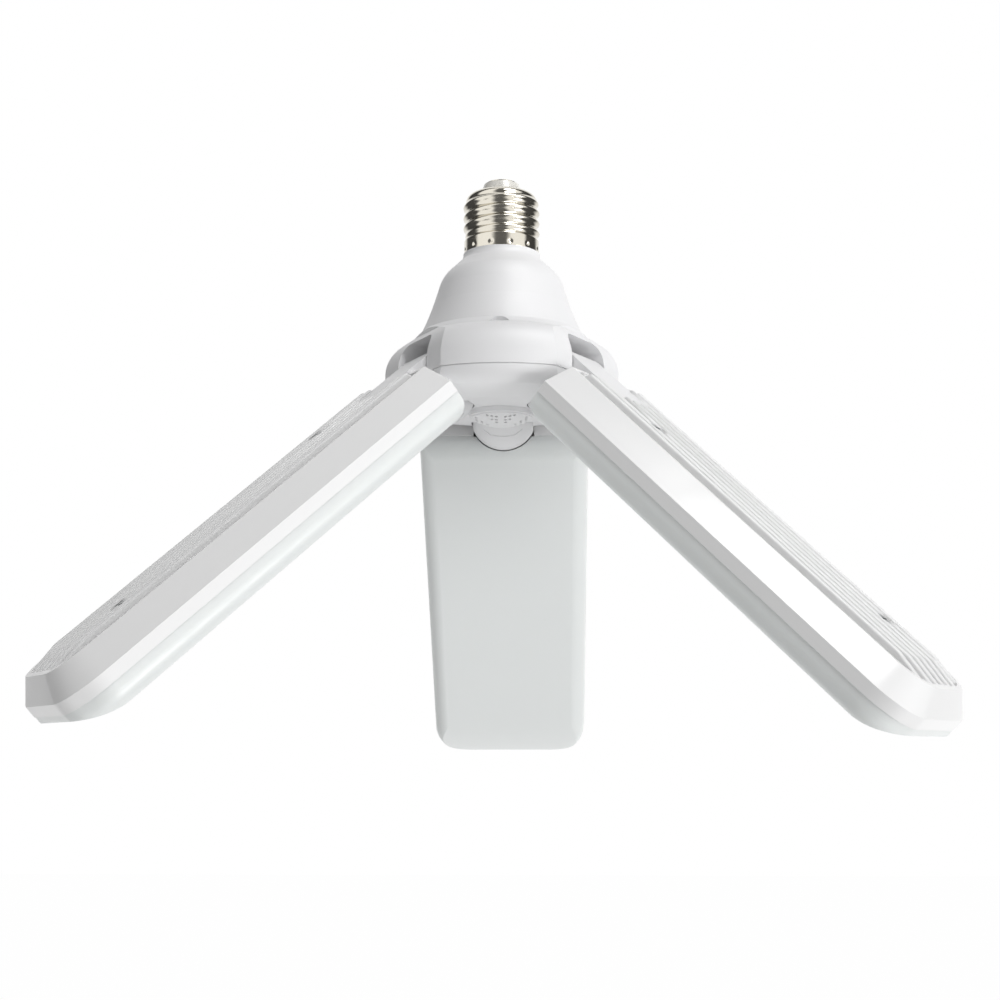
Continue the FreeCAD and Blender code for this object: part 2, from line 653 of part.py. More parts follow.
def make_hub():
    roof = S["housing_base_level"] - S["hub_wall"]
    outer = cut("hub_outer", hub_round("hub_outer_round", 0.0), [face_cutter("hub_faces", 0.0)])
    hollow = cut("hub_hollow", hub_round("hub_inner_round", S["hub_wall"]),
                 [face_cutter("hub_inner_faces", S["hub_wall"])])
    opening = primitive("Cylinder", "hub_opening", Radius=S["hub_opening_radius"],
                        Height=S["hub_wall"] + 2.0, z=roof - 1.0)
    shell = cut("hub_shell", outer, [hollow, opening])
    walls = [hinge_slot("slot_wall_%d" % step, step, S["slot_wall"]) for step in range(3)]
    post = primitive("Cylinder", "hub_post", Radius=S["hub_post_radius"],
                     Height=S["hub_post_level"] + S["hub_floor_drop"] - 1.0,
                     z=1.0 - S["hub_floor_drop"])
    inside = common("hub_inside", fuse("hub_walls", walls + [post]), outer)
    solid = fuse("hub_solid", [shell, inside])
    tools = [hinge_slot("slot_%d" % step, step, 0.0) for step in range(3)]
    seat = S["vent_plug_height"] - S["hub_floor_drop"]
    for step in range(3):
        length = S["knuckle_width"] + (S["slot_side_gap"] + S["slot_wall"] + 1.0) * 2.0
        bore = primitive("Cylinder", "pin_hole_%d" % step,
                         Radius=S["pin_radius"] + S["pin_fit"], Height=length)
        across(bore, length / 2)
        bore.Placement = hinge_place(step).multiply(bore.Placement)
        tools.append(bore)
        spot = between(step, S["hub_screw_place"])
        shank = primitive("Cylinder", "hub_shank_hole_%d" % step,
                          Radius=S["hub_screw_radius"] + S["pin_fit"],
                          Height=S["hub_screw_length"] + S["screw_head_height"] + 1.0)
        tools.append(at(shank, spot, seat))
        head = primitive("Cylinder", "hub_head_hole_%d" % step,
                         Radius=S["screw_head_radius"] + 0.2,
                         Height=S["screw_head_height"] + 1.0 + S["seat_gap"] * 2.0)
        tools.append(at(head, spot, seat - 0.9))
        hole = primitive("Cylinder", "ring_hole_%d" % step,
                         Radius=S["hub_screw_radius"] + S["pin_fit"], Height=S["hub_wall"] + 2.0)
        tools.append(at(hole, between(step, S["post_place"]), roof - 1.0))
    tools.append(primitive("Cylinder", "vent_seat", Radius=S["vent_plug_radius"] + S["vent_plug_fit"],
                           Height=S["vent_plug_height"] + 1.0, z=-S["hub_floor_drop"] - 1.0))
    reach = CLEAR / 4
    seam = -S["hub_seam_drop"]
    depth = S["seam_groove_depth"]
    band = box("seam_band", (-reach, -reach, seam - S["seam_groove_height"]), (reach, reach, seam))
    core = cut("seam_core", hub_round("seam_core_round", depth), [face_cutter("seam_faces", depth)])
    tools.append(cut("seam_groove", band, [core]))
    whole = cut("hub_whole", solid, tools)
    above = box("above_seam", (-reach, -reach, seam), (reach, reach, reach))
    below = box("below_seam", (-reach, -reach, -reach), (reach, reach, seam - S["seat_gap"]))
    node(common("hub_ring_cut", whole, above), "hub_ring", hub_place())
    node(common("hub_base_cut", whole, below), "hub_base", hub_place())


def make_vent():
    drop = S["hub_floor_drop"] + S["seat_gap"]
    wall = S["vent_wall"]
    dome = S["vent_dome_radius"]
    depth = S["vent_dome_depth"]
    low = -(drop + S["vent_skirt"])
    plug = S["vent_plug_radius"]
    inner = dome - wall
    sag = depth + 0.6 - wall
    body = new_body("vent_cap_body")
    turned(body, "vent_cap_turned", [
        (0, low - depth, (dome * dome + depth * depth) / (depth * 2.0)), (dome, low),
        (dome, low + S["vent_lip"]), (S["vent_radius"], low + S["vent_lip"] * 2.0),
        (S["vent_radius"], -drop), (plug, -drop), (plug, S["vent_plug_height"] - drop - 0.1),
        (plug - wall, S["vent_plug_height"] - drop - 0.1), (plug - wall, -drop - wall),
        (inner, -drop - wall), (inner, low + 0.6, -(inner * inner + sag * sag) / (sag * 2.0)),
        (0, low - depth + wall)])
    doc.recompute()
    holes = sketch_on(body, "XY_Plane", "vent_holes_profile", low - depth - 1.0)
    spots = []
    for column in range(3):
        for line in range(3 - column):
            side = S["vent_hole_side"] * (column + 1)
            spots += [(side, S["vent_hole_reach"] - S["vent_hole_step"] * line),
                      (-side, S["vent_hole_reach"] - S["vent_hole_step"] * line)]
    circles(holes, spots, S["vent_hole_radius"])
    drilled = body.newObject("PartDesign::Pocket", "vent_holes")
    drilled.Profile = holes
    bind(drilled, Length=depth + S["vent_skirt"] + 0.5)
    drilled.Reversed = True
    thirds(body, drilled, 4)
    node(body, "vent_cap", hub_place())


def make_hub_fasteners():
    height = S["screw_head_height"]
    seat = S["vent_plug_height"] - S["hub_floor_drop"] + height + 0.1 + S["seat_gap"]
    spots = [between(step, S["hub_screw_place"]) for step in range(3)]
    screws("hub_screws", [(spot.x, spot.y, seat) for spot in spots], S["hub_screw_length"],
           S["hub_screw_radius"], True, hub_place())
    roof = S["housing_base_level"] - S["hub_wall"] - S["seat_gap"]
    spots = [between(step, S["post_place"]) for step in range(3)]
    screws("housing_screws", [(spot.x, spot.y, roof) for spot in spots],
           S["housing_screw_length"], S["hub_screw_radius"], True, hub_place())
    pins = []
    washers = []
    half = S["knuckle_width"].value / 2 + S["slot_side_gap"].value + S["slot_wall"].value
    thick = S["slot_side_gap"].value - 2 * S["washer_gap"].value
    inner = S["knuckle_width"].value / 2 + S["washer_gap"].value
    along = FreeCAD.Vector(0, 1, 0)
    for step in range(3):
        for shapes, radius, bore, start, length in (
                (pins, S["pin_radius"], S["pin_bore"], -half, 2 * half),
                (washers, S["washer_radius"], S["pin_radius"] + S["pin_fit"], inner, thick),
                (washers, S["washer_radius"], S["pin_radius"] + S["pin_fit"], -inner - thick, thick)):
            foot = FreeCAD.Vector(0, start, 0)
            ring = Part.makeCylinder(radius.value, length, foot, along)
            ring = ring.cut(Part.makeCylinder(bore.value, length, foot, along))
            ring.Placement = hinge_place(step)
            shapes.append(ring)
    node(compound("hinge_pins_all", pins), "hinge_pins", hub_place())
    node(compound("friction_washers_all", washers), "friction_washers", hub_place())


def make_driver():
    level = S["housing_base_level"] + S["seat_gap"]
    board = primitive("Cylinder", "driver_board_disc", z=level, Radius=S["driver_board_radius"],
                      Height=S["board_thickness"])
    notches = []
    for step in range(3):
        notch = primitive("Cylinder", "driver_board_notch_%d" % step,
                          Radius=S["post_radius"] + S["post_gap"],
                          Height=S["board_thickness"] + 2.0)
        notches.append(at(notch, between(step, S["post_place"]), level - 1.0))
    node(cut("driver_board_cut", board, notches), "driver_board", hub_place())
    top = level + S["board_thickness"] + S["seat_gap"]
    length, width, place_y = S["transformer_length"], S["transformer_width"], S["transformer_place"]
    top = top - S["hinge_depth"]
    core = box("transformer_core", (-length / 2, -place_y - width / 2, top),
               (length / 2, width / 2 - place_y, top + S["transformer_height"]))
    node(core, "driver_transformer")
    can = primitive("Cylinder", "driver_capacitor_can", x=-S["capacitor_side"],
                    y=S["capacitor_place"], z=top, Radius=S["capacitor_radius"],
                    Height=S["capacitor_height"])
    node(can, "driver_capacitor")
    chip = box("driver_chip_block", (S["chip_side"], S["chip_place"], top),
               (S["chip_side"] + S["chip_length"], S["chip_place"] + S["chip_width"],
                top + S["chip_height"]))
    node(chip, "driver_chip")
    low = (top + S["seat_gap"]).value
    stem = (S["cap_shoulder_height"] + S["cap_insulator_height"] - S["cap_stem_length"]
            - S["seat_gap"]).value
    thin = S["lead_radius"].value
    bend = S["lead_bend"].value
    y = S["live_place"].value
    live = tube(thin, [(0.0, y, low), (0.0, y, low + 18.0), (0.0, 0.0, low + 28.0),
                       (0.0, 0.0, stem)], bend)
    side, neck = S["neutral_side"].value, S["neutral_neck"].value
    rise = low + S["neutral_rise"].value
    shell = (S["cap_root_radius"] - S["cap_wall"] - S["lead_radius"]).value - 0.1
    end = S["neutral_end"].value
    neutral = tube(thin, [(side, -2.0, low), (side, -2.0, rise), (neck, 0.0, rise + 8.0),
                          (neck, 0.0, end - 4.0), (shell, 0.0, end)], bend)
    node(compound("input_leads_all", [live, neutral]), "input_leads")
    shapes = []
    out = S["output_side"].value
    back = (S["output_place"] - S["hinge_radius"]).value
    half = (S["knuckle_width"] / 2 + S["slot_side_gap"] + S["slot_wall"] + S["seat_gap"]).value
    for step in range(3):
        shape = tube(thin, [(back, out, (level - S["seat_gap"]).value), (back, out, 0.0),
                            (0.0, out, 0.0), (0.0, half, 0.0)], bend)
        shape.Placement = hinge_place(step).multiply(shape.Placement)
        shapes.append(shape)
    node(compound("output_leads_all", shapes), "output_leads", hub_place())


# ---------------------------------------------------------------- panels

def panel_place(step, angle):
    """The panel's frame at its hinge, tilted down by its angle."""
    tilt = FreeCAD.Placement(FreeCAD.Vector(), FreeCAD.Rotation(FreeCAD.Vector(0, 1, 0), angle.value))
    return hub_place().multiply(hinge_place(step)).multiply(tilt)


def panel_screw_spots():
    """The two screws in a panel's back: near the hub on the right, near the tip on the left."""
    return [("near", S["screw_near_place"], -S["screw_side"]),
            ("far", S["screw_far_place"], S["screw_side"])]


def fin(name, number):
    """One long fin of a panel's back, with its top edges rounded and its tip end sloped."""
    count = int(S["fin_count"].value)
    outer = number in (0, count - 1)
    start = S["panel_start"] + S["fin_start"]
    last = S["panel_end"] - S["panel_taper_end"] - S["trough_tip"] + 0.5
    if outer:
        last = last - S["fin_outer_short"]
    low = S["trough_level"] - 0.8
    top = S["fin_top"]
    rib = new_body("%s_rib_%d" % (name, number))
    padded(rib, "%s_rib_pad_%d" % (name, number), [
        (start, low), (last, low), (last, S["panel_taper_height"] - 0.2),
        (last - S["fin_slope"], top), (start + 1.2, top), (start, S["panel_taper_height"])],
        S["fin_width"], role="XZ_Plane", both=True)
    height = top.value - 1e-6
    rounded(rib, "%s_rib_soft_%d" % (name, number), S["fin_width"] * 0.4,
            lambda room: room.ZMin > height and room.XLength > 50)
    middle = S["fin_pitch"] * (number - (count - 1) / 2)
    return place(rib, y=middle)


def make_frame(side, where):
    start, end = S["panel_start"], S["panel_end"]
    half = S["panel_width"] / 2
    wall = S["panel_wall"]
    name = "panel_frame_" + side
    body = new_body(name + "_body")
    padded(body, name + "_band", tongue(start, end, half, S["panel_corner"]), S["panel_band"],
           back=True)
    low = sketch_on(body, "XY_Plane", name + "_low")
    outline(low, tongue(start, end, half, S["panel_corner"]))
    high = sketch_on(body, "XY_Plane", name + "_high", S["panel_taper_height"])
    back_half = half - S["panel_taper_side"]
    back_end = end - S["panel_taper_end"]
    outline(high, tongue(start, back_end, back_half, S["panel_back_corner"]))
    loft = body.newObject("PartDesign::AdditiveLoft", name + "_taper")
    loft.Profile = low
    loft.Sections = [high]
    loft.Ruled = True
    pocketed(body, name + "_tray", tongue(start + wall, end - wall, half - wall,
                                          S["panel_corner"] - wall),
             S["panel_band"] - S["panel_ledge"] + 1.0, level=-S["panel_band"] - 1.0, back=True)
    ledge = S["panel_ledge_width"] + wall
    pocketed(body, name + "_hollow", tongue(start + wall, end - ledge, half - ledge,
                                            S["panel_corner"] - ledge),
             S["panel_ledge"] + S["panel_floor"] + 0.5, level=-S["panel_ledge"] - 0.5, back=True)
    pocketed(body, name + "_trough",
             tongue(start + S["trough_start"], back_end - S["trough_tip"],
                    back_half - S["trough_lip"], S["trough_corner"]),
             S["panel_taper_height"] - S["trough_level"] + 1.0, level=S["trough_level"],
             back=True)
    ribs = [fin(name, number) for number in range(int(S["fin_count"].value))]
    bosses = []
    tools = []
    for label, x, y in panel_screw_spots():
        bosses.append(primitive("Cylinder", "%s_boss_%s" % (name, label), x, y,
                                S["panel_floor"] + 0.2, Radius=S["screw_boss_radius"],
                                Height=S["screw_boss_level"] - S["panel_floor"] - 0.2))
        bosses.append(primitive("Cylinder", "%s_spacer_%s" % (name, label), x, y,
                                S["seat_gap"] - S["panel_ledge"], Radius=S["spacer_radius"],
                                Height=S["panel_floor"] + S["panel_ledge"] + 0.3))
        tools.append(primitive("Cylinder", "%s_hole_%s" % (name, label), x, y, -5.0,
                               Radius=S["panel_screw_radius"] + S["pin_fit"],
                               Height=S["screw_boss_level"] + 6.0))
        tools.append(primitive("Cylinder", "%s_head_room_%s" % (name, label), x, y,
                               S["screw_boss_level"], Radius=S["screw_boss_radius"] - 0.7,
                               Height=S["fin_top"]))
    bay = S["knuckle_width"] / 2 + S["bay_gap"]
    arm = S["knuckle_arm_length"] + S["knuckle_arm_gap"]
    wheel = S["knuckle_wheel_radius"] + S["wheel_cut_gap"]
    above = S["fin_top"] + 1.0
    tools.append(box(name + "_bay", (0, -bay, S["trough_level"]), (arm, bay, above)))
    tools.append(box(name + "_throat", (0, -bay, -S["panel_band"] - 1.0),
                     (start + wall + 0.2, bay, S["trough_level"] + 0.5)))
    tools.append(box(name + "_wheel_room", (0, -bay, -S["panel_band"] - 1.0), (wheel, bay, 0.3)))
    for y in (-S["knuckle_screw_side"], S["knuckle_screw_side"]):
        tools.append(primitive("Cylinder", name + "_arm_hole", S["knuckle_screw_place"], y, 0.0,
                               Radius=S["knuckle_screw_radius"] + S["pin_fit"],
                               Height=S["trough_level"] + 1.0))
    whole = fuse(name + "_whole", [body] + ribs + bosses)
    node(cut(name + "_cut", whole, tools), name, where)


def make_board(side, where):
    name = "led_board_" + side
    start = S["knuckle_wheel_radius"] + S["wheel_cut_gap"] + S["diffuser_wall"]
    gap = S["panel_wall"] + S["led_board_gap"]
    top = -S["panel_ledge"] - S["seat_gap"]
    body = new_body(name + "_body")
    padded(body, name + "_plate",
           tongue(start, S["panel_end"] - gap, S["panel_width"] / 2 - gap,
                  S["panel_corner"] - gap), S["board_thickness"], level=top, back=True)
    doc.recompute()
    holes = sketch_on(body, "XY_Plane", name + "_holes_profile", top)
    circles(holes, [(x, y) for label, x, y in panel_screw_spots()],
            S["panel_screw_radius"] + S["pin_fit"])
    drilled = body.newObject("PartDesign::Pocket", name + "_holes")
    drilled.Profile = holes
    bind(drilled, Length=S["board_thickness"] + 1.0)
    node(body, name, where)
    shapes = []
    face = (top - S["board_thickness"] - S["seat_gap"] - S["led_height"]).value
    middle = (start + S["panel_end"] - gap).value / 2
    columns = int(S["led_columns"].value)
    for column in range(columns):
        for line in (-1, 0, 1):
            x = middle + (column - (columns - 1) / 2) * S["led_pitch"].value
            y = line * S["led_row_place"].value
            shape = Part.makeBox(S["led_length"].value, S["led_width"].value,
                                 S["led_height"].value)
            shape.translate(FreeCAD.Vector(x - S["led_length"].value / 2,
                                           y - S["led_width"].value / 2, face))
            shapes.append(shape)
    node(compound("leds_%s_all" % side, shapes), "leds_" + side, where)


def tip_rise(label, raised):
    """The side view of a diffuser or of its room: level underneath and rising to the tip."""
    base = raised - S["panel_band"] - S["seat_gap"]
    end = S["panel_end"] - S["diffuser_inset"]
    length = S["diffuser_rise_length"]
    rise = S["diffuser_depth"] - S["diffuser_tip_depth"]
    low = base - S["diffuser_depth"]
    high = base + S["panel_band"]
    body = new_body(label)
    padded(body, label + "_pad", [
        (0, low), (end - length, low, (length * length + rise * rise) / (rise * 2.0)),
        (end, low + rise), (end, high), (0, high)],
        S["panel_width"] + 2.0, role="XZ_Plane", both=True)
    return body


def make_diffuser(side, where):
    name = "diffuser_" + side
    inset = S["diffuser_inset"]
    start = S["panel_start"] + inset
    end = S["panel_end"] - inset
    half = S["panel_width"] / 2 - inset
    base = -S["panel_band"] - S["seat_gap"]
    body = new_body(name + "_body")
    padded(body, name + "_block", tongue(start, end, half, S["panel_corner"] - inset),
           S["diffuser_depth"], level=base, back=True)
    deep = (base - S["diffuser_depth"]).value + 1e-6
    rounded(body, name + "_soft", S["diffuser_round"], lambda room: room.ZMax < deep)
    far = S["diffuser_side_wall"]
    wheel_end = S["knuckle_wheel_radius"] + S["wheel_cut_gap"] + S["diffuser_wall"]
    room = new_body(name + "_room")
    padded(room, name + "_inside", tongue(wheel_end, end - far, half - far,
                                          S["panel_corner"] - far),
           S["diffuser_depth"] - S["diffuser_wall"] + 1.0, level=base + 1.0, back=True)
    outside = common(name + "_outside", body, tip_rise(name + "_rise", 0.0))
    inside = common(name + "_room_inside", room, tip_rise(name + "_room_rise", S["diffuser_wall"]))
    lip = S["panel_wall"] - inset + S["diffuser_lip_gap"]
    inner = lip + S["diffuser_lip_wall"]
    corner = S["panel_corner"] - inset
    ring = new_body(name + "_lip_body")
    padded(ring, name + "_lip_pad", tongue(start + lip, end - lip, half - lip, corner - lip),
           S["diffuser_lip"] + 0.5, level=base - 0.5)
    pocketed(ring, name + "_lip_cut",
             tongue(wheel_end, end - inner, half - inner, corner - inner),
             S["diffuser_lip"] + 3.0, level=base + S["diffuser_lip"] + 1.0)
    whole = fuse(name + "_whole", [cut(name + "_shell", outside, [inside]), ring])
    gap = S["wheel_cut_gap"]
    bay = S["knuckle_width"] / 2 + gap
    wheel = hinge_wheel(name + "_wheel_cut", S["knuckle_wheel_radius"] + gap,
                        S["knuckle_rim_drop"], bay)
    mouth = box(name + "_mouth", (0, -bay, base - 0.6),
                (S["knuckle_wheel_radius"] + gap, bay, 1.0))
    node(cut(name + "_cut", whole, [wheel, mouth]), name, where)


def rim_mark(label, ends):
    """A short groove in the knuckle's round rim between two places of side and angle."""
    half = S["knuckle_width"].value / 2
    drop = S["knuckle_rim_drop"].value
    big = (half * half + drop * drop) / (2 * drop)
    spots = []
    for side, angle in ends:
        radius = S["knuckle_wheel_radius"].value - big + math.sqrt(big * big - side * side)
        turn = math.radians(angle)
        spots.append(FreeCAD.Vector(radius * math.cos(turn), side, -radius * math.sin(turn)))
    span = spots[1] - spots[0]
    return feature(label, Part.makeCylinder(S["knuckle_mark"].value, span.Length, spots[0], span))


def make_knuckle(side, where):
    name = "knuckle_" + side
    half = S["knuckle_width"] / 2
    barrel_radius = S["knuckle_barrel"]
    reach = CLEAR / 8
    wheel = hinge_wheel(name + "_wheel", S["knuckle_wheel_radius"], S["knuckle_rim_drop"], half)
    limit = box(name + "_limit", (-barrel_radius, -reach, -reach), (reach, reach, 0.0))
    sector = common(name + "_sector", wheel, limit)
    barrel = primitive("Cylinder", name + "_barrel", Radius=barrel_radius,
                       Height=S["knuckle_width"])
    across(barrel, half)
    neck_end = S["panel_start"] + S["panel_wall"]
    neck = box(name + "_neck", (0.0, -half, -1.0), (neck_end, half, barrel_radius))
    seat = S["trough_level"] + S["seat_gap"]
    arm = box(name + "_arm", (neck_end - 1.0, -half, seat),
              (S["knuckle_arm_length"], half, barrel_radius))
    tools = []
    bore = primitive("Cylinder", name + "_bore", Radius=S["pin_radius"] + S["pin_fit"],
                     Height=S["knuckle_width"] + 2.0)
    tools.append(across(bore, half + 1.0))
    channel = primitive("Cylinder", name + "_channel", Radius=S["lead_radius"] + 0.25,
                        Height=S["knuckle_wheel_radius"] + 2.0, z=0.0)
    channel.Placement = FreeCAD.Placement(FreeCAD.Vector(1.0, 0, 0),
                                          FreeCAD.Rotation(FreeCAD.Vector(0, 1, 0), 90))
    tools.append(channel)
    for y in (-S["knuckle_screw_side"], S["knuckle_screw_side"]):
        tools.append(primitive("Cylinder", name + "_arm_hole", S["knuckle_screw_place"], y,
                               seat - 1.0, Radius=S["knuckle_screw_radius"] + S["pin_fit"],
                               Height=S["knuckle_screw_length"] - 0.2))
    high, low = S["mark_top_side"].value, S["mark_low_side"].value
    top, foot = S["mark_top_angle"].value, S["mark_low_angle"].value
    places = [(-high, top), (-low, foot), (-low / 2, foot), (0.0, foot), (low / 2, foot), (low, foot),
              (high, top)]
    for number, ends in enumerate(zip(places, places[1:])):
        tools.append(rim_mark("%s_mark_%d" % (name, number), ends))
    whole = fuse(name + "_whole", [sector, barrel, neck, arm])
    node(cut(name + "_cut", whole, tools), name, where)
    under = S["panel_floor"] - S["seat_gap"]
    spots = [(S["knuckle_screw_place"], y, under)
             for y in (-S["knuckle_screw_side"], S["knuckle_screw_side"])]
    screws("knuckle_screws_" + side, spots, S["knuckle_screw_length"],
           S["knuckle_screw_radius"], True, where)


def make_small_parts(side, where):
    length = S["screw_boss_level"] + S["panel_ledge"] + S["board_thickness"] + 0.6
    spots = [(x, y, S["screw_boss_level"] + S["seat_gap"]) for label, x, y in panel_screw_spots()]
    screws("panel_screws_" + side, spots, length, S["panel_screw_radius"], False, where, 0.6)
    start = (S["pin_radius"] + S["pin_fit"]).value + 0.3
    end = S["knuckle_wheel_radius"].value + 6.0
    lead = Part.makeCylinder(S["lead_radius"].value, end - start, FreeCAD.Vector(start, 0, 0),
                             FreeCAD.Vector(1, 0, 0))
    node(feature("panel_lead_%s_tube" % side, lead), "panel_lead_" + side, where)


make_cap()
make_housing()
make_hub()
make_vent()
make_hub_fasteners()
make_driver()
for step, side in enumerate(("rear", "left", "right")):
    where = panel_place(step, S["angle_" + side])
    make_frame(side, where)
    make_board(side, where)
    make_diffuser(side, where)
    make_knuckle(side, where)
    make_small_parts(side, where)

doc.recompute()
for thing in doc.Objects:
    if "Invalid" in thing.State or "Error" in thing.State:
        raise RuntimeError("failed: " + thing.Name)
for thing in NODES:
    if thing.Shape.isNull() or not thing.Shape.isValid():
        raise RuntimeError("bad shape: " + thing.Label)

os.makedirs("parts", exist_ok=True)
for thing in NODES:
    thing.Shape.exportStep("parts/" + thing.Label + ".step")
    print("%-24s solids %2d  volume %10.1f" % (thing.Label, len(thing.Shape.Solids), thing.Shape.Volume))
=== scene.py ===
"""A folding three-panel garage light with a screw cap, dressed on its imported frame.

Everything is in metres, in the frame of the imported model: Z points up, the origin is where
the screw cap meets the white housing, and the camera looks from the front, along +Y.
"""

import json
import math

import bmesh
import bpy
import numpy as np
from mathutils import Matrix, Vector


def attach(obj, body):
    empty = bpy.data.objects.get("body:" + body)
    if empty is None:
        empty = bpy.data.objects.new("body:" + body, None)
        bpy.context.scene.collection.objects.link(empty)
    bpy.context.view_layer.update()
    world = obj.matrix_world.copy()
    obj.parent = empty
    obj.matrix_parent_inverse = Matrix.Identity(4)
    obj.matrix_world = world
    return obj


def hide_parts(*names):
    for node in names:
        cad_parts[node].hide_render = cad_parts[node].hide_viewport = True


bl_info = {
    "name": "Folding Garage Light",
    "version": (1, 0, 0),
    "blender": (4, 5, 0),
    "location": "View3D > Sidebar > Garage Light",
    "description": "Builds the looks of a folding three-panel garage light on its packed frame",
    "category": "Object",
}

MM = 0.001
SIDES = ("rear", "left", "right")
WHITE = (1.0, 1.0, 1.0, 1.0)

# the screw cap
POINTS_ROUND = 288
CREST_POWER = 1.2  # above 1, so the thread's crests are narrower than its roots
CRIMPS = 12
CRIMP_SIZE = 0.55 * MM
CRIMP_DEPTH = 0.45 * MM
SHOULDER_END = 7.3 * MM  # radius where the shoulder's curve ends, beside the hole
SHOULDER_STEPS = 10

# the panels' frames, with the room in them for a knuckle and for the screws' heads
HINGE_CORNER = 0.5 * MM
HINGE_CORNER_STEPS = 3
TIP_CORNER_STEPS = 12
BACK_WALL = 1.0 * MM
ARM_HALF = 10.75 * MM
ARM_END = 24.3 * MM
WHEEL_END = 16.85 * MM
ABOVE_BACK = 12 * MM
SCREW_SPOTS = ((41 * MM, -8.25 * MM), (130 * MM, 8.25 * MM))
SCREW_ROOM = 3.5 * MM
FIN_ROUND = 0.8 * MM
SHARP_ANGLE = 28.0  # edges that turn more than this many degrees are rounded

# light: the floor's own glow, the room's fill and how it leans, and the windows that metal sees
FLOOR_REACH = 12.0
FLOOR_LEVEL = -1.1
FLOOR_GLOW = 1.08
GLOW_SHARE = 0.45
FILL_LEAN = (0.14, -0.05, -0.35)
FILL_LEVEL = 0.46
WINDOW_POWER = 1.25

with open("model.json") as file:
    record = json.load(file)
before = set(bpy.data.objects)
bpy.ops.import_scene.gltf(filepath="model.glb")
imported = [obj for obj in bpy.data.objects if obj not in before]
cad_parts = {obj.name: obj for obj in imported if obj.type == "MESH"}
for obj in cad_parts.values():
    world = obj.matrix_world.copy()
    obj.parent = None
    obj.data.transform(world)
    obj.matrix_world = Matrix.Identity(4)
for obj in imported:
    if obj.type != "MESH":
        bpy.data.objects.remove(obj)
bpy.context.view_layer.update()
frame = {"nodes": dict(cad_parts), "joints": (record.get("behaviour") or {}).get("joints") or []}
JOINTS = {joint["child"].replace("panel_", ""): joint for joint in frame["joints"]}


def linear(code):
    """Turn an sRGB hex colour into the linear colour that shaders use."""
    parts = [int(code[i:i + 2], 16) / 255 for i in (1, 3, 5)]
    return tuple(c / 12.92 if c <= 0.04045 else ((c + 0.055) / 1.055) ** 2.4 for c in parts) + (1.0,)


# ---------------------------------------------------------------- sizes and colours

def length(name, text, size):
    """A size that a user may change, given in millimetres and kept in metres."""
    return bpy.props.FloatProperty(name=name, description=text, default=size * MM, unit="LENGTH",
                                   precision=5)


def colour(name, text, code):
    """A colour that a user may change, given as sRGB hex."""
    return bpy.props.FloatVectorProperty(name=name, description=text, default=linear(code), size=4,
                                         subtype="COLOR", min=0.0, max=1.0)


class GarageLightSizes(bpy.types.PropertyGroup):
    """Sizes of the pieces that are built here."""
    collar_radius: length("Collar radius", "Outside of the cap's plain collar", 12.75)
    root_radius: length("Thread root radius", "Cap radius between the thread's crests", 12.15)
    crest_height: length("Thread crest height", "How far the rolled thread stands out", 0.88)
    thread_pitch: length("Thread pitch", "Rise of the cap's thread in one turn", 3.63)
    collar_height: length("Collar height", "Where the thread starts above the housing", 5.0)
    thread_top: length("Thread top", "Where the cap's shoulder starts", 18.6)
    cap_height: length("Cap height", "Top of the nickel shell", 21.5)
    cap_wall: length("Cap wall", "Thickness of the nickel shell", 0.7)
    cap_hole: length("Cap hole radius", "Opening for the insulator", 7.0)
    crimp_level: length("Crimp level", "Height of the punched crimps in the collar", 1.4)
    panel_start: length("Panel start", "Distance of a panel's near end from its hinge axis", 10.7)
    panel_end: length("Panel end", "Distance of a panel's tip from its hinge axis", 164.3)
    panel_width: length("Panel width", "Width across a panel", 60.0)
    panel_corner: length("Panel corner", "Corner radius at a panel's tip", 14.0)
    panel_band: length("Panel band", "Height of the upright band below the slope", 4.0)
    panel_wall: length("Panel wall", "Thickness of the frame's wall", 1.8)
    slope_height: length("Slope height", "Rise of the sloped wall to the back's lip", 7.5)
    slope_side: length("Slope at the sides", "How far the sloped wall leans in", 8.3)
    slope_end: length("Slope at the tip", "How far the sloped tip leans in", 4.4)
    back_corner: length("Back corner", "Corner radius of the back at the tip", 11.0)
    trough_level: length("Trough level", "Floor of the finned trough", 5.0)
    trough_lip: length("Trough lip", "Width of the lip beside the trough", 1.0)
    trough_start: length("Trough start", "Thickness of the wall at the hinge end", 1.6)
    trough_tip: length("Trough tip", "Rim between the trough and the tip", 2.0)
    trough_corner: length("Trough corner", "Corner radius of the trough at the tip", 10.0)
    fin_top: length("Fin top", "Height of the fins' top edges", 9.2)
    fin_width: length("Fin width", "Thickness of a fin", 2.2)
    fin_pitch: length("Fin pitch", "Distance from fin to fin", 5.5)
    fin_start: length("Fin start", "Where the fins start, from the panel's near end", 3.4)
    fin_slope: length("Fin slope", "Length over which a fin slopes down at the tip", 10.0)
    fin_short: length("Outer fin step", "How much the outer fins are shorter", 2.0)
    edge_round: length("Edge round", "Rounding of the painted edges", 0.35)


class GarageLightColours(bpy.types.PropertyGroup):
    """Colours of the finishes."""
    housing_white: colour("Housing", "Moulded white of the housing and hub", "#EEEEEF")
    frame_white: colour("Frame", "Painted white of the panels' frames", "#F1F1F1")
    cover_white: colour("Cover", "Opal white of the light covers", "#E9ECEB")
    nickel: colour("Cap", "Nickel plate of the screw cap", "#D9D4C8")
    floor: colour("Floor", "Floor under the lamp", "#F6F6F6")


# ---------------------------------------------------------------- node helpers

def add_node(tree, kind, settings=None, links=None):
    """Add a node with its settings. A link's value is a plain value or another node's output."""
    made = tree.nodes.new(kind)
    for name, value in (settings or {}).items():
        setattr(made, name, value)
    for key, value in (links or {}).items():
        socket = made.inputs[key]
        if isinstance(value, bpy.types.NodeSocket):
            tree.links.new(value, socket)
        else:
            socket.default_value = value
    return made


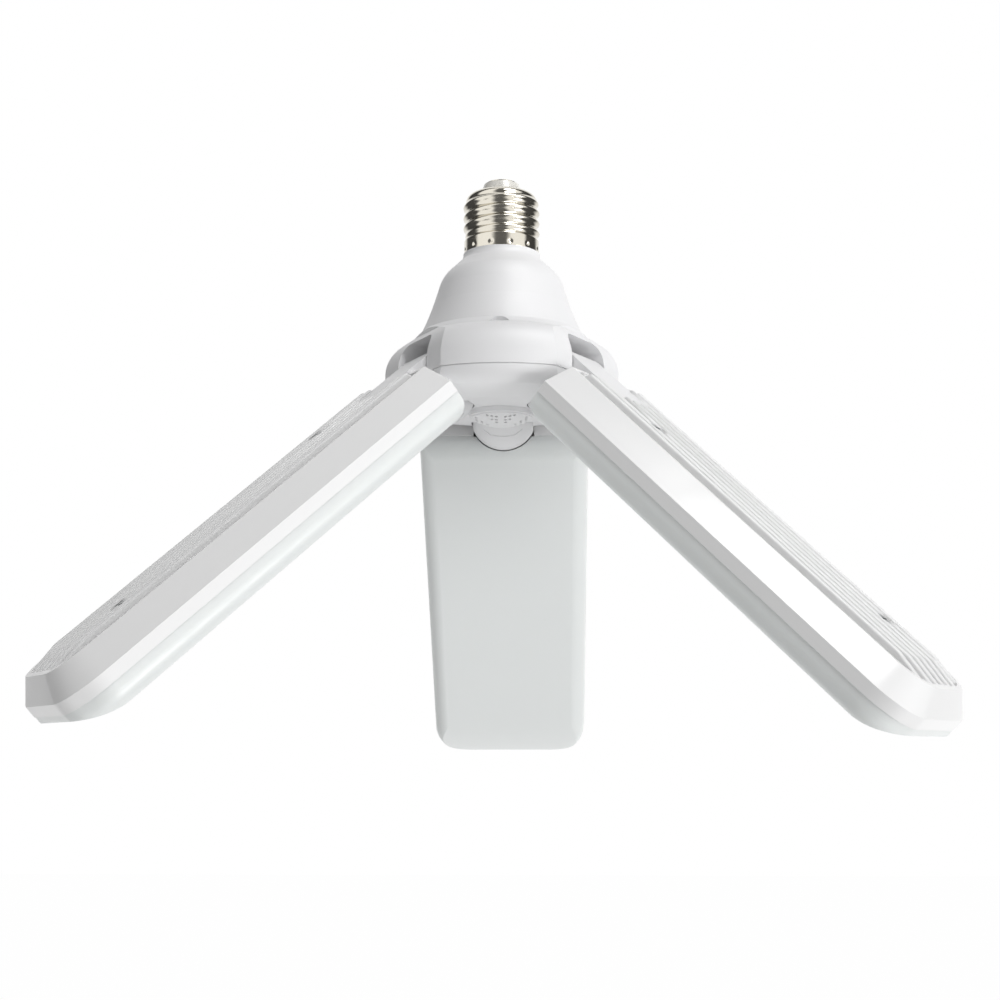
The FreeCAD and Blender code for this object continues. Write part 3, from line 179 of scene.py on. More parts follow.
def start_finish(name, plain):
    """A new material with its shader, output and object coordinates. plain holds the shader's
    own numbers."""
    material = bpy.data.materials.new(name)
    material.use_nodes = True
    tree = material.node_tree
    tree.nodes.clear()
    shader = add_node(tree, "ShaderNodeBsdfPrincipled", links=plain)
    add_node(tree, "ShaderNodeOutputMaterial", links={"Surface": shader.outputs["BSDF"]})
    where = add_node(tree, "ShaderNodeTexCoord").outputs["Object"]
    return material, tree, shader, where


def weather(tree, shader, where, light, dark, patch, rough):
    """Give a surface its colour variation and its uneven gloss, and give back the colour.
    light and dark are the two near colours, patch the size of the cloudy variation and rough the
    least and greatest roughness."""
    clouds = add_node(tree, "ShaderNodeTexNoise", {"noise_dimensions": "3D"},
                      {"Vector": where, "Scale": 1 / patch, "Detail": 4.0, "Roughness": 0.55})
    tint = add_node(tree, "ShaderNodeMix", {"data_type": "RGBA"},
                    {0: clouds.outputs["Fac"], 6: light, 7: dark})
    tree.links.new(tint.outputs[2], shader.inputs["Base Color"])
    smears = add_node(tree, "ShaderNodeTexNoise", {"noise_dimensions": "3D"},
                      {"Vector": where, "Scale": 2.7 / patch, "Detail": 5.0, "Distortion": 0.6})
    gloss = add_node(tree, "ShaderNodeMapRange", None,
                     {"Value": smears.outputs["Fac"], "From Min": 0.3, "From Max": 0.7,
                      "To Min": rough[0], "To Max": rough[1]})
    tree.links.new(gloss.outputs["Result"], shader.inputs["Roughness"])
    return tint.outputs[2]


def add_relief(tree, shader, pattern, depth, under=None):
    """Raise a surface by a pattern of this height, over another relief if there is one."""
    bump = add_node(tree, "ShaderNodeBump", None,
                    {"Height": pattern, "Distance": depth, "Strength": 1.0})
    if under is not None:
        tree.links.new(under, bump.inputs["Normal"])
    tree.links.new(bump.outputs["Normal"], shader.inputs["Normal"])
    return bump.outputs["Normal"]


def add_grain(tree, shader, where, grain, depth, detail=3.0):
    """Give a surface a fine grain of this size and height."""
    cells = add_node(tree, "ShaderNodeTexNoise", {"noise_dimensions": "3D"},
                     {"Vector": where, "Scale": 1 / grain, "Detail": detail, "Roughness": 0.6})
    return add_relief(tree, shader, cells.outputs["Fac"], depth)


def shade(tone, factor):
    """A linear colour made a little darker or lighter."""
    return tuple(channel * factor for channel in tone[:3]) + (1.0,)


def grey(level):
    """A neutral linear colour."""
    return (level, level, level, 1.0)


# ---------------------------------------------------------------- finishes

def moulded_white(name, white, rough=(0.42, 0.54)):
    """PBT or nylon, injection moulded in a spark-eroded tool: a dull white with a fine even grain
    that takes broad soft highlights and shows no sink marks."""
    material, tree, shader, where = start_finish(name, {"IOR": 1.52, "Specular IOR Level": 0.45})
    weather(tree, shader, where, white, shade(white, 0.975), 18 * MM, rough)
    # the tool's texture is about 0.25 mm across, drawn at 0.4 mm so that it shows
    add_grain(tree, shader, where, 0.4 * MM, 0.012 * MM)
    return material


def powder_coat(name, white):
    """Polyester powder coat on extruded aluminium: satin white with a faint orange peel of about
    1.5 mm, a little glossier than the moulded hub."""
    material, tree, shader, where = start_finish(
        name, {"IOR": 1.5, "Specular IOR Level": 0.5, "Coat Weight": 0.12, "Coat Roughness": 0.2})
    weather(tree, shader, where, white, shade(white, 0.98), 40 * MM, (0.3, 0.4))
    peel = add_grain(tree, shader, where, 1.5 * MM, 0.005 * MM, 1.0)
    dust = add_node(tree, "ShaderNodeTexNoise", {"noise_dimensions": "3D"},
                    {"Vector": where, "Scale": 1 / (0.35 * MM), "Detail": 1.0})
    add_relief(tree, shader, dust.outputs["Fac"], 0.001 * MM, peel)
    return material


def opal_cover(name, white):
    """Opal polycarbonate, moulded 1.5 mm thick: light spreads inside it, so edges glow a little
    and the face looks even, with a smooth satin skin and faint flow clouds."""
    material, tree, shader, where = start_finish(
        name, {"IOR": 1.585, "Specular IOR Level": 0.4, "Subsurface Weight": 0.35,
               "Subsurface Radius": (1.0, 0.98, 0.94), "Subsurface Scale": 3 * MM})
    weather(tree, shader, where, white, shade(white, 0.985), 30 * MM, (0.3, 0.42))
    add_grain(tree, shader, where, 0.6 * MM, 0.004 * MM)
    return material


def nickel_plate(name, metal):
    """Bright nickel on rolled brass: warm grey mirror with fine drawn lines round the cap and
    cloudy handling marks."""
    material, tree, shader, where = start_finish(name, {"Metallic": 1.0})
    weather(tree, shader, where, metal, shade(metal, 0.9), 7 * MM, (0.09, 0.2))
    # lines from the rolling, about 0.1 mm apart, drawn at 0.25 mm so that they show
    squeeze = add_node(tree, "ShaderNodeMapping", None, {"Vector": where, "Scale": (1.0, 1.0, 22.0)})
    lines = add_node(tree, "ShaderNodeTexNoise", {"noise_dimensions": "3D"},
                     {"Vector": squeeze.outputs["Vector"], "Scale": 1 / (5.5 * MM), "Detail": 2.0})
    add_relief(tree, shader, lines.outputs["Fac"], 0.006 * MM)
    return material


def bare_metal(name, code, rough=(0.25, 0.42), grain=0.8):
    """Plated or turned small metal parts: a soft metallic lustre with tumbling marks."""
    material, tree, shader, where = start_finish(name, {"Metallic": 1.0})
    tone = linear(code)
    weather(tree, shader, where, tone, shade(tone, 0.85), 4 * MM, rough)
    add_grain(tree, shader, where, grain * MM, 0.006 * MM)
    return material


def small_plastic(name, code, rough=(0.4, 0.55), grain=0.5, dark=0.92):
    """Small moulded or sleeved parts with a light grain."""
    material, tree, shader, where = start_finish(name, {"IOR": 1.5})
    tone = linear(code)
    weather(tree, shader, where, tone, shade(tone, dark), 6 * MM, rough)
    add_grain(tree, shader, where, grain * MM, 0.01 * MM)
    return material


def printed_board(name, code, ink):
    """A printed board: a weave of 0.8 mm under a glossy solder mask, and the copper's pattern as
    a darker network."""
    material, tree, shader, where = start_finish(name, {"IOR": 1.55, "Coat Weight": 0.3})
    tone = linear(code)
    tint = weather(tree, shader, where, tone, shade(tone, 0.9), 5 * MM, (0.3, 0.45))
    mask = add_grain(tree, shader, where, 0.8 * MM, 0.01 * MM)
    tracks = add_node(tree, "ShaderNodeTexVoronoi", {"feature": "DISTANCE_TO_EDGE"},
                      {"Vector": where, "Scale": 1 / (6 * MM)})
    edge = add_node(tree, "ShaderNodeMapRange", None,
                    {"Value": tracks.outputs["Distance"], "From Min": 0.04, "From Max": 0.07,
                     "To Min": 1.0, "To Max": 0.0})
    printed = add_node(tree, "ShaderNodeMix", {"data_type": "RGBA"},
                       {0: edge.outputs["Result"], 6: tint, 7: linear(ink)})
    tree.links.new(printed.outputs[2], shader.inputs["Base Color"])
    # a wave texture draws its bands 0.314 / scale apart
    weave = add_node(tree, "ShaderNodeTexWave", {"bands_direction": "DIAGONAL"},
                     {"Vector": where, "Scale": 1 / (2.5 * MM), "Distortion": 1.5})
    add_relief(tree, shader, weave.outputs["Fac"], 0.01 * MM, mask)
    return material


def wound_tape(name, code):
    """Polyester tape wound round the transformer: glossy yellow laps 3 mm apart."""
    material, tree, shader, where = start_finish(name, {"IOR": 1.57, "Coat Weight": 0.4})
    tone = linear(code)
    weather(tree, shader, where, tone, shade(tone, 0.82), 5 * MM, (0.25, 0.4))
    grain = add_grain(tree, shader, where, 1.2 * MM, 0.02 * MM)
    laps = add_node(tree, "ShaderNodeTexWave", {"bands_direction": "Z", "wave_profile": "SAW"},
                    {"Vector": where, "Scale": 0.314 / (3 * MM)})
    add_relief(tree, shader, laps.outputs["Fac"], 0.06 * MM, grain)
    return material


def lamp_phosphor(name):
    """Silicone with yellow phosphor in a white package: matt, a little uneven in tone."""
    material, tree, shader, where = start_finish(name, {"IOR": 1.41})
    weather(tree, shader, where, linear("#F3E39A"), linear("#E4C23C"), 2.5 * MM, (0.35, 0.5))
    add_grain(tree, shader, where, 0.4 * MM, 0.01 * MM)
    return material


def make_finishes():
    """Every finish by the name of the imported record's material slot."""
    tones = bpy.context.scene.garage_light_colours
    return {
        "nickel_plate": nickel_plate("nickel_on_rolled_brass", tuple(tones.nickel)),
        "cap_ceramic": small_plastic("white_cap_insulator", "#E6E4DE", (0.2, 0.32), 0.9, 0.95),
        "contact_brass": bare_metal("tinned_brass", "#CFC9B8", (0.22, 0.4), 0.6),
        "white_housing": moulded_white("spark_eroded_white_pbt", tuple(tones.housing_white)),
        "white_knuckle": moulded_white("smooth_white_nylon", shade(tones.housing_white, 0.98),
                                       (0.34, 0.46)),
        "white_frame": powder_coat("white_powder_coat", tuple(tones.frame_white)),
        "milky_diffuser": opal_cover("opal_polycarbonate", tuple(tones.cover_white)),
        "driver_laminate": printed_board("paper_phenolic_board", "#B98D55", "#8C5F33"),
        "led_laminate": printed_board("white_masked_metal_board", "#EEEFEA", "#D9DCD4"),
        "transformer_tape": wound_tape("wound_polyester_tape", "#E0B52E"),
        "capacitor_sleeve": small_plastic("shrunk_vinyl_sleeve", "#22262C", (0.25, 0.38), 0.8, 0.7),
        "driver_black": small_plastic("black_epoxy_moulding", "#2A2A2B", (0.5, 0.65), 0.3, 0.8),
        "lead_insulation": small_plastic("silicone_lead_cover", "#E5E3DC", (0.45, 0.6), 0.5),
        "screw_steel": bare_metal("zinc_plated_steel", "#C3C5C6"),
        "pin_steel": bare_metal("turned_steel", "#B4B4B2", (0.2, 0.34), 0.5),
        "washer_nylon": small_plastic("natural_nylon", "#E9E5D8", (0.38, 0.5), 0.6),
        "led_phosphor": lamp_phosphor("yellow_phosphor_silicone"),
    }


def finish_of(slot):
    """The finish for a slot, made once."""
    known = bpy.context.scene.get("garage_light_finishes")
    if known is None:
        made = make_finishes()
        bpy.context.scene["garage_light_finishes"] = {key: made[key].name for key in made}
        known = bpy.context.scene["garage_light_finishes"]
    return bpy.data.materials[known[slot]]


def dress_nodes(names):
    """Put the finish of its own slot on each of these CAD nodes."""
    for name in names:
        node = frame["nodes"][name]
        for spot in node.material_slots:
            spot.material = finish_of(spot.material.name.split(".")[0])


# ---------------------------------------------------------------- mesh helpers

def link(name, mesh, slot):
    """A new piece at the origin with its finish."""
    piece = bpy.data.objects.new(name, mesh)
    bpy.context.scene.collection.objects.link(piece)
    mesh.materials.clear()
    mesh.materials.append(finish_of(slot))
    return piece


def applied(piece):
    """A new plain mesh of a piece with its modifiers."""
    bpy.context.view_layer.update()
    graph = bpy.context.evaluated_depsgraph_get()
    return bpy.data.meshes.new_from_object(piece.evaluated_get(graph), depsgraph=graph)


def apply_modifiers(piece):
    """Leave a piece as plain geometry."""
    mesh = applied(piece)
    piece.modifiers.clear()
    piece.data = mesh


def settle(piece, name, slot, body, *nodes):
    """Turn a piece with its modifiers into a plain mesh that rides on a body and stands for
    these CAD nodes."""
    mesh = applied(piece)
    mesh.name = name
    bpy.data.objects.remove(piece)
    done = link(name, mesh, slot)
    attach(done, body)
    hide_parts(*nodes)


def panel_matrix(side):
    """From a panel's own flat frame to the lamp's frame, at the photographed angle."""
    joint = JOINTS[side]
    spot = Vector(joint["pos_m"])
    turn = math.atan2(spot.y, spot.x)
    tilt = -math.radians(joint["range_deg"][0])
    return Matrix.Translation(spot) @ Matrix.Rotation(turn, 4, "Z") @ Matrix.Rotation(tilt, 4, "Y")


def tongue(start, end, half, corner, level):
    """A ring of points round a panel's plan: almost square at the hinge end, round at the tip."""
    near = HINGE_CORNER
    ring = []
    for x, y, radius, angle in ((start, -half, near, 180), (end, -half, corner, 270),
                                (end, half, corner, 0), (start, half, near, 90)):
        count = TIP_CORNER_STEPS if x == end else HINGE_CORNER_STEPS
        centre_x = x + radius if x == start else x - radius
        centre_y = y + radius if y < 0 else y - radius
        for i in range(count + 1):
            turn = math.radians(angle + 90 * i / count)
            ring.append((centre_x + radius * math.cos(turn), centre_y + radius * math.sin(turn), level))
    return ring


def loft(rings):
    """A closed solid through rings of equal length, with a flat cap at both ends."""
    solid = bmesh.new()
    rows = [[solid.verts.new(point) for point in ring] for ring in rings]
    count = len(rings[0])
    for low, high in zip(rows, rows[1:]):
        for i in range(count):
            after = (i + 1) % count
            solid.faces.new((low[i], low[after], high[after], high[i]))
    solid.faces.new(list(reversed(rows[0])))
    solid.faces.new(rows[-1])
    bmesh.ops.remove_doubles(solid, verts=solid.verts, dist=1e-7)
    bmesh.ops.recalc_face_normals(solid, faces=solid.faces)
    return solid


def to_mesh(name, solid):
    """A smooth-shaded mesh from a bmesh."""
    mesh = bpy.data.meshes.new(name)
    for face in solid.faces:
        face.smooth = True
    solid.to_mesh(mesh)
    solid.free()
    return mesh


def block(name, low, high):
    """A box between two corners, used only as a cutting tool."""
    solid = bmesh.new()
    bmesh.ops.create_cube(solid, size=1.0)
    size = [high[i] - low[i] for i in range(3)]
    middle = [(high[i] + low[i]) / 2 for i in range(3)]
    bmesh.ops.scale(solid, vec=size, verts=solid.verts)
    bmesh.ops.translate(solid, vec=middle, verts=solid.verts)
    return tool(name, solid)


def tool(name, solid):
    """An object that only cuts others."""
    mesh = bpy.data.meshes.new(name)
    solid.to_mesh(mesh)
    solid.free()
    thing = bpy.data.objects.new(name, mesh)
    bpy.context.scene.collection.objects.link(thing)
    return thing


def carve(piece, tools):
    """Cut tools out of a piece and throw them away."""
    for number, cutter in enumerate(tools):
        step = piece.modifiers.new("cut_%d" % number, "BOOLEAN")
        step.operation = "DIFFERENCE"
        step.solver = "EXACT"
        step.object = cutter
    apply_modifiers(piece)
    for cutter in tools:
        bpy.data.objects.remove(cutter)


def soften(piece, radius, segments):
    """Round the sharp edges of a piece and keep its flats flat."""
    edge = piece.modifiers.new("edge_round", "BEVEL")
    edge.width = radius
    edge.segments = segments
    edge.limit_method = "ANGLE"
    edge.angle_limit = math.radians(SHARP_ANGLE)
    edge.harden_normals = True
    edge.use_clamp_overlap = True


def turned_mesh(name, rows):
    """A hollow mesh from rows of points that each go once round. The last row joins the first."""
    rows = np.asarray(rows)
    count, around = rows.shape[:2]
    index = np.arange(count * around).reshape(count, around)
    after = np.roll(index, -1, axis=1)
    lower, upper = index, np.roll(index, -1, axis=0)
    after_up = np.roll(after, -1, axis=0)
    faces = np.stack([lower, after, after_up, upper], axis=-1)
    mesh = bpy.data.meshes.new(name)
    mesh.from_pydata(rows.reshape(-1, 3).tolist(), [], faces.reshape(-1, 4).tolist())
    mesh.shade_smooth()
    return mesh


# ---------------------------------------------------------------- repeating pieces

def row_tree():
    """Geometry nodes that repeat a piece along a line."""
    tree = bpy.data.node_groups.get("garage_light_row")
    if tree:
        return tree
    tree = bpy.data.node_groups.new("garage_light_row", "GeometryNodeTree")
    face = tree.interface
    face.new_socket("Geometry", in_out="INPUT", socket_type="NodeSocketGeometry")
    face.new_socket("Count", in_out="INPUT", socket_type="NodeSocketInt")
    face.new_socket("First", in_out="INPUT", socket_type="NodeSocketVector")
    face.new_socket("Step", in_out="INPUT", socket_type="NodeSocketVector")
    face.new_socket("Finish", in_out="INPUT", socket_type="NodeSocketMaterial")
    face.new_socket("Geometry", in_out="OUTPUT", socket_type="NodeSocketGeometry")
    given = add_node(tree, "NodeGroupInput")
    line = add_node(tree, "GeometryNodeMeshLine", None,
                    {"Count": given.outputs["Count"], "Start Location": given.outputs["First"],
                     "Offset": given.outputs["Step"]})
    copies = add_node(tree, "GeometryNodeInstanceOnPoints", None,
                      {"Points": line.outputs["Mesh"], "Instance": given.outputs["Geometry"]})
    real = add_node(tree, "GeometryNodeRealizeInstances", None,
                    {"Geometry": copies.outputs["Instances"]})
    painted = add_node(tree, "GeometryNodeSetMaterial", None,
                       {"Geometry": real.outputs["Geometry"], "Material": given.outputs["Finish"]})
    add_node(tree, "NodeGroupOutput", None, {0: painted.outputs["Geometry"]})
    return tree


def repeat(piece, count, first, step, slot):
    """Repeat a piece along a line and leave plain geometry."""
    tree = row_tree()
    row = piece.modifiers.new("row", "NODES")
    row.node_group = tree
    values = {"Count": count, "First": first, "Step": step, "Finish": finish_of(slot)}
    for item in tree.interface.items_tree:
        if item.in_out == "INPUT" and item.name in values:
            row[item.identifier] = values[item.name]
    apply_modifiers(piece)


# ---------------------------------------------------------------- operators

class GARAGELIGHT_OT_cap(bpy.types.Operator):
    """Build the nickel screw shell with its rolled thread and punched crimps"""
    bl_idname = "garage_light.cap"
    bl_label = "Screw cap"

    def execute(self, context):
        size = context.scene.garage_light_sizes
        wall = size.cap_wall
        turn = np.linspace(0.0, 2 * math.pi, POINTS_ROUND, endpoint=False)

        def radius_at(level):
            """Outer radius round the cap at one level: collar, thread and crimps."""
            wave = 0.5 + 0.5 * np.cos(2 * math.pi * (level / size.thread_pitch - turn / (2 * math.pi)))
            low = np.clip((level - size.collar_height - 0.2 * MM) / (2.2 * MM), 0, 1)
            high = np.clip((size.thread_top + 0.5 * MM - level) / (2.0 * MM), 0, 1)
            fade = low * low * (3 - 2 * low) * high * high * (3 - 2 * high)
            drop = np.clip((level - size.collar_height + 0.5 * MM) / (0.7 * MM), 0, 1)
            base = size.collar_radius + (size.root_radius - size.collar_radius) * drop
            span = (turn * CRIMPS / (2 * math.pi)) % 1.0 - 0.5
            aside = span * 2 * math.pi * size.collar_radius / CRIMPS
            punch = np.exp(-(aside ** 2 + (level - size.crimp_level) ** 2) / CRIMP_SIZE ** 2)
            return base + size.crest_height * fade * wave ** CREST_POWER - CRIMP_DEPTH * punch

        # rows every 0.2 mm up the collar and every 0.15 mm up the thread, in millimetres
        levels = np.concatenate([np.linspace(0.0, 4.4, 23), np.linspace(4.6, 18.4, 93)])
        rows = [(radius_at(level), level) for level in levels * MM]
        shoulder = size.cap_height - size.thread_top
        reach = size.root_radius - SHOULDER_END
        for i in range(SHOULDER_STEPS + 1):
            lean = math.pi / 2 * i / SHOULDER_STEPS
            rows.append((SHOULDER_END + reach * math.cos(lean) ** 0.8,
                         size.thread_top + shoulder * math.sin(lean)))
        # over the hole's edge and back down the inside
        inside = size.root_radius - wall
        rows += [(size.cap_hole, size.cap_height - 0.15 * MM),
                 (size.cap_hole, size.cap_height - wall),
                 (inside - 1.5 * MM, size.thread_top + 0.4 * MM),
                 (inside, size.thread_top - 1.0 * MM),
                 (inside, size.collar_height),
                 (size.collar_radius - wall, size.collar_height - 0.8 * MM),
                 (size.collar_radius - wall, 0.05 * MM)]
        rings = [np.stack([radius * np.cos(turn), radius * np.sin(turn), level + 0 * turn], axis=-1)
                 for radius, level in rows]
        piece = link("cap_shell_rolled", turned_mesh("cap_shell_rolled", rings), "nickel_plate")
        settle(piece, "cap_shell_rolled", "nickel_plate", "hub", "cap_shell")
        dress_nodes(["cap_insulator", "cap_contact"])
        return {"FINISHED"}


class GARAGELIGHT_OT_hub(bpy.types.Operator):
    """Finish the driver housing, the two halves of the hub and the vent cap"""
    bl_idname = "garage_light.hub"
    bl_label = "Housing and hub"

    def execute(self, context):
        dress_nodes(["driver_housing", "hub_ring", "hub_base", "vent_cap"])
        return {"FINISHED"}


class GARAGELIGHT_OT_frames(bpy.types.Operator):
    """Build the three painted panel frames with their fins"""
    bl_idname = "garage_light.frames"
    bl_label = "Panel frames"

    def execute(self, context):
        size = context.scene.garage_light_sizes
        start, end = size.panel_start, size.panel_end
        half = size.panel_width / 2
        wall = size.panel_wall
        back_end = end - size.slope_end
        back_half = half - size.slope_side
        for side in SIDES:
            node = "panel_frame_" + side
            tray = (start + wall, end - wall, half - wall, size.panel_corner - wall)
            trough = (start + size.trough_start, back_end - size.trough_tip,
                      back_half - size.trough_lip, size.trough_corner)
            # from the tray's roof down its wall, round the rim, up the slope and into the trough
            rings = [tongue(*tray, -BACK_WALL), tongue(*tray, -size.panel_band),
                     tongue(start, end, half, size.panel_corner, -size.panel_band),
                     tongue(start, end, half, size.panel_corner, 0.0),
                     tongue(start, back_end, back_half, size.back_corner, size.slope_height),
                     tongue(*trough, size.slope_height), tongue(*trough, size.trough_level)]
            shell = link(node + "_shell", to_mesh(node + "_shell", loft(rings)), "white_frame")
            side_y = ARM_HALF
            carve(shell, [block("arm_bay", (0.0, -side_y, size.trough_level - 0.3 * MM),
                                (start + size.trough_start + 0.5 * MM, side_y, ABOVE_BACK)),
                          block("throat", (0.0, -side_y, -6 * MM),
                                (start + wall + 0.2 * MM, side_y, 6 * MM)),
                          block("wheel_room", (0.0, -side_y, -6 * MM),
                                (WHEEL_END, side_y, 0.3 * MM))])
            soften(shell, size.edge_round, 3)
            shell.data.transform(panel_matrix(side))
            settle(shell, node + "_shell", "white_frame", "panel_" + side, node)
            self.add_fins(size, side, node, back_end)
        return {"FINISHED"}

    def add_fins(self, size, side, node, back_end):
        """Seven long fins with rounded tops and sloped tips, cleared round the screws and arm."""
        near = size.panel_start + size.fin_start
        far = back_end - size.trough_tip + 0.5 * MM
        foot = size.trough_level - 0.5 * MM
        thick = size.fin_width / 2
        pitch = size.fin_pitch
        groups = (("inner", far, 5, -2 * pitch, pitch),
                  ("outer", far - size.fin_short, 2, -3 * pitch, 6 * pitch))
        for label, tip, count, low_y, step_y in groups:
            profile = [(near, foot), (tip, foot), (tip, size.slope_height - 0.2 * MM),
                       (tip - size.fin_slope, size.fin_top), (near + 1.2 * MM, size.fin_top),
                       (near, size.slope_height)]
            solid = loft([[(x, -thick, z) for x, z in profile], [(x, thick, z) for x, z in profile]])
            fin = link("fin_" + label, to_mesh("fin_" + label, solid), "white_frame")
            soften(fin, FIN_ROUND, 4)
            repeat(fin, count, (0.0, low_y, 0.0), (0.0, step_y, 0.0), "white_frame")
            carve(fin, self.fin_rooms(size))
            fin.modifiers.new("flat_sides", "WEIGHTED_NORMAL")
            fin.data.transform(panel_matrix(side))
            settle(fin, "%s_fin_%ss" % (node, label), "white_frame", "panel_" + side, node)

    def fin_rooms(self, size):
        """Tools that clear the fins for the knuckle's arm and for the screws' heads."""
        tools = [block("arm_room", (0.0, -ARM_HALF, 0.0), (ARM_END, ARM_HALF, ABOVE_BACK))]
        for x, y in SCREW_SPOTS:
            well = bmesh.new()
            spot = Matrix.Translation((x, y, size.slope_height + 2.9 * MM))
            bmesh.ops.create_cone(well, cap_ends=True, segments=40, radius1=SCREW_ROOM,
                                  radius2=SCREW_ROOM, depth=6 * MM, matrix=spot)
            tools.append(tool("screw_well", well))
        return tools


class GARAGELIGHT_OT_covers(bpy.types.Operator):
    """Finish the three opal light covers"""
    bl_idname = "garage_light.covers"
    bl_label = "Light covers"

    def execute(self, context):
        dress_nodes(["diffuser_" + side for side in SIDES])
        return {"FINISHED"}


class GARAGELIGHT_OT_hinges(bpy.types.Operator):
    """Finish the hinge knuckles, pins and washers"""
    bl_idname = "garage_light.hinges"
    bl_label = "Hinges"

    def execute(self, context):
        dress_nodes(["knuckle_" + side for side in SIDES] + ["hinge_pins", "friction_washers"])
        return {"FINISHED"}


class GARAGELIGHT_OT_fasteners(bpy.types.Operator):
    """Finish all the screws"""
    bl_idname = "garage_light.fasteners"
    bl_label = "Screws"

    def execute(self, context):
        names = ["hub_screws", "housing_screws"]
        for side in SIDES:
            names += ["knuckle_screws_" + side, "panel_screws_" + side]
        dress_nodes(names)
        return {"FINISHED"}


class GARAGELIGHT_OT_electrics(bpy.types.Operator):
    """Finish the driver, the leads, the boards and their LEDs"""
    bl_idname = "garage_light.electrics"
    bl_label = "Driver and LEDs"

    def execute(self, context):
        names = ["driver_board", "driver_transformer", "driver_capacitor", "driver_chip",
                 "input_leads", "output_leads"]
        for side in SIDES:
            names += ["led_board_" + side, "leds_" + side, "panel_lead_" + side]
        dress_nodes(names)
        return {"FINISHED"}


class GARAGELIGHT_OT_stage(bpy.types.Operator):
    """Set up the pale floor, the soft lights and the camera"""
    bl_idname = "garage_light.stage"
    bl_label = "Stage and camera"

    def execute(self, context):
        self.add_floor(context)
        self.add_world(context)
        self.add_lights()
        self.add_camera(context)
        context.scene.view_settings.view_transform = "Standard"
        return {"FINISHED"}

    def add_floor(self, context):
        """A wide pale floor, well below the hanging lamp."""
        mesh = bpy.data.meshes.new("studio_floor")
        corners = ((-1, -1), (1, -1), (1, 1), (-1, 1))
        mesh.from_pydata([(x * FLOOR_REACH, y * FLOOR_REACH, FLOOR_LEVEL) for x, y in corners], [],
                         [(0, 1, 2, 3)])
        floor = bpy.data.objects.new("studio_floor", mesh)
        context.scene.collection.objects.link(floor)
        material = bpy.data.materials.new("pale_studio_floor")
        material.use_nodes = True
        tree = material.node_tree
        tree.nodes.clear()
        paint = add_node(tree, "ShaderNodeBsdfDiffuse",
                         links={"Color": tuple(context.scene.garage_light_colours.floor)})
        glow = add_node(tree, "ShaderNodeEmission", links={"Color": WHITE, "Strength": FLOOR_GLOW})
        path = add_node(tree, "ShaderNodeLightPath")
        # the camera sees nine tenths of the glow, and the lamp gets half of that back as a fill
        share = add_node(tree, "ShaderNodeMath", {"operation": "MULTIPLY_ADD"},
                         {0: path.outputs["Is Camera Ray"], 1: GLOW_SHARE, 2: GLOW_SHARE})
        solid = add_node(tree, "ShaderNodeMixShader", None,
                         {0: share.outputs[0], 1: paint.outputs[0], 2: glow.outputs[0]})
        # mirrors look past it into the room
        clear = add_node(tree, "ShaderNodeBsdfTransparent")
        surface = add_node(tree, "ShaderNodeMixShader", None,
                           {0: path.outputs["Is Glossy Ray"], 1: solid.outputs[0],
                            2: clear.outputs[0]})
        add_node(tree, "ShaderNodeOutputMaterial", None, {"Surface": surface.outputs[0]})
        mesh.materials.append(material)

    def add_world(self, context):
        """White for the camera, windows for reflections, and a soft fill for everything else."""
        world = bpy.data.worlds.new("soft_studio")
        world.use_nodes = True
        tree = world.node_tree
        tree.nodes.clear()
        path = add_node(tree, "ShaderNodeLightPath")
        where = add_node(tree, "ShaderNodeTexCoord").outputs["Generated"]
        # the fill is brighter from below, where the pale floor is, and a little from the right
        lean = add_node(tree, "ShaderNodeVectorMath", {"operation": "DOT_PRODUCT"},
                        {0: where, 1: FILL_LEAN})
        level = add_node(tree, "ShaderNodeMath", {"operation": "ADD"},
                         {0: lean.outputs["Value"], 1: FILL_LEVEL})
        fill = add_node(tree, "ShaderNodeBackground", None,
                        {"Color": WHITE, "Strength": level.outputs[0]})
        # metal sees a dark camera side, bright windows beside it, dim walls and a light back wall
        level_way = add_node(tree, "ShaderNodeVectorMath", {"operation": "MULTIPLY"},
                             {0: where, 1: (1.0, 1.0, 0.0)})
        unit = add_node(tree, "ShaderNodeVectorMath", {"operation": "NORMALIZE"},
                        {0: level_way.outputs["Vector"]})
        split = add_node(tree, "ShaderNodeSeparateXYZ", None, {0: unit.outputs["Vector"]})
        depth = add_node(tree, "ShaderNodeMapRange", None,
                         {"Value": split.outputs["Y"], "From Min": -1.0, "From Max": 1.0})
        bands = add_node(tree, "ShaderNodeValToRGB", None, {0: depth.outputs["Result"]})
        ramp = bands.color_ramp.elements
        ramp[0].position, ramp[0].color = 0.02, grey(0.12)
        ramp[1].position, ramp[1].color = 0.9, grey(0.85)
        for place, tone in ((0.07, 1.0), (0.38, 1.0), (0.46, 0.06), (0.8, 0.05)):
            ramp.new(place).color = grey(tone)
        power = add_node(tree, "ShaderNodeMath", {"operation": "MULTIPLY"},
                         {0: bands.outputs["Color"], 1: WINDOW_POWER})
        windows = add_node(tree, "ShaderNodeBackground", None,
                           {"Color": WHITE, "Strength": power.outputs[0]})
        white = add_node(tree, "ShaderNodeBackground", None, {"Color": WHITE, "Strength": 1.0})
        lit = add_node(tree, "ShaderNodeMixShader", None,
                       {0: path.outputs["Is Glossy Ray"], 1: fill.outputs[0], 2: windows.outputs[0]})
        seen = add_node(tree, "ShaderNodeMath", {"operation": "MAXIMUM"},
                        {0: path.outputs["Is Camera Ray"], 1: path.outputs["Is Transmission Ray"]})
        surface = add_node(tree, "ShaderNodeMixShader", None,
                           {0: seen.outputs[0], 1: lit.outputs[0], 2: white.outputs[0]})
        add_node(tree, "ShaderNodeOutputWorld", None, {"Surface": surface.outputs[0]})
        context.scene.world = world

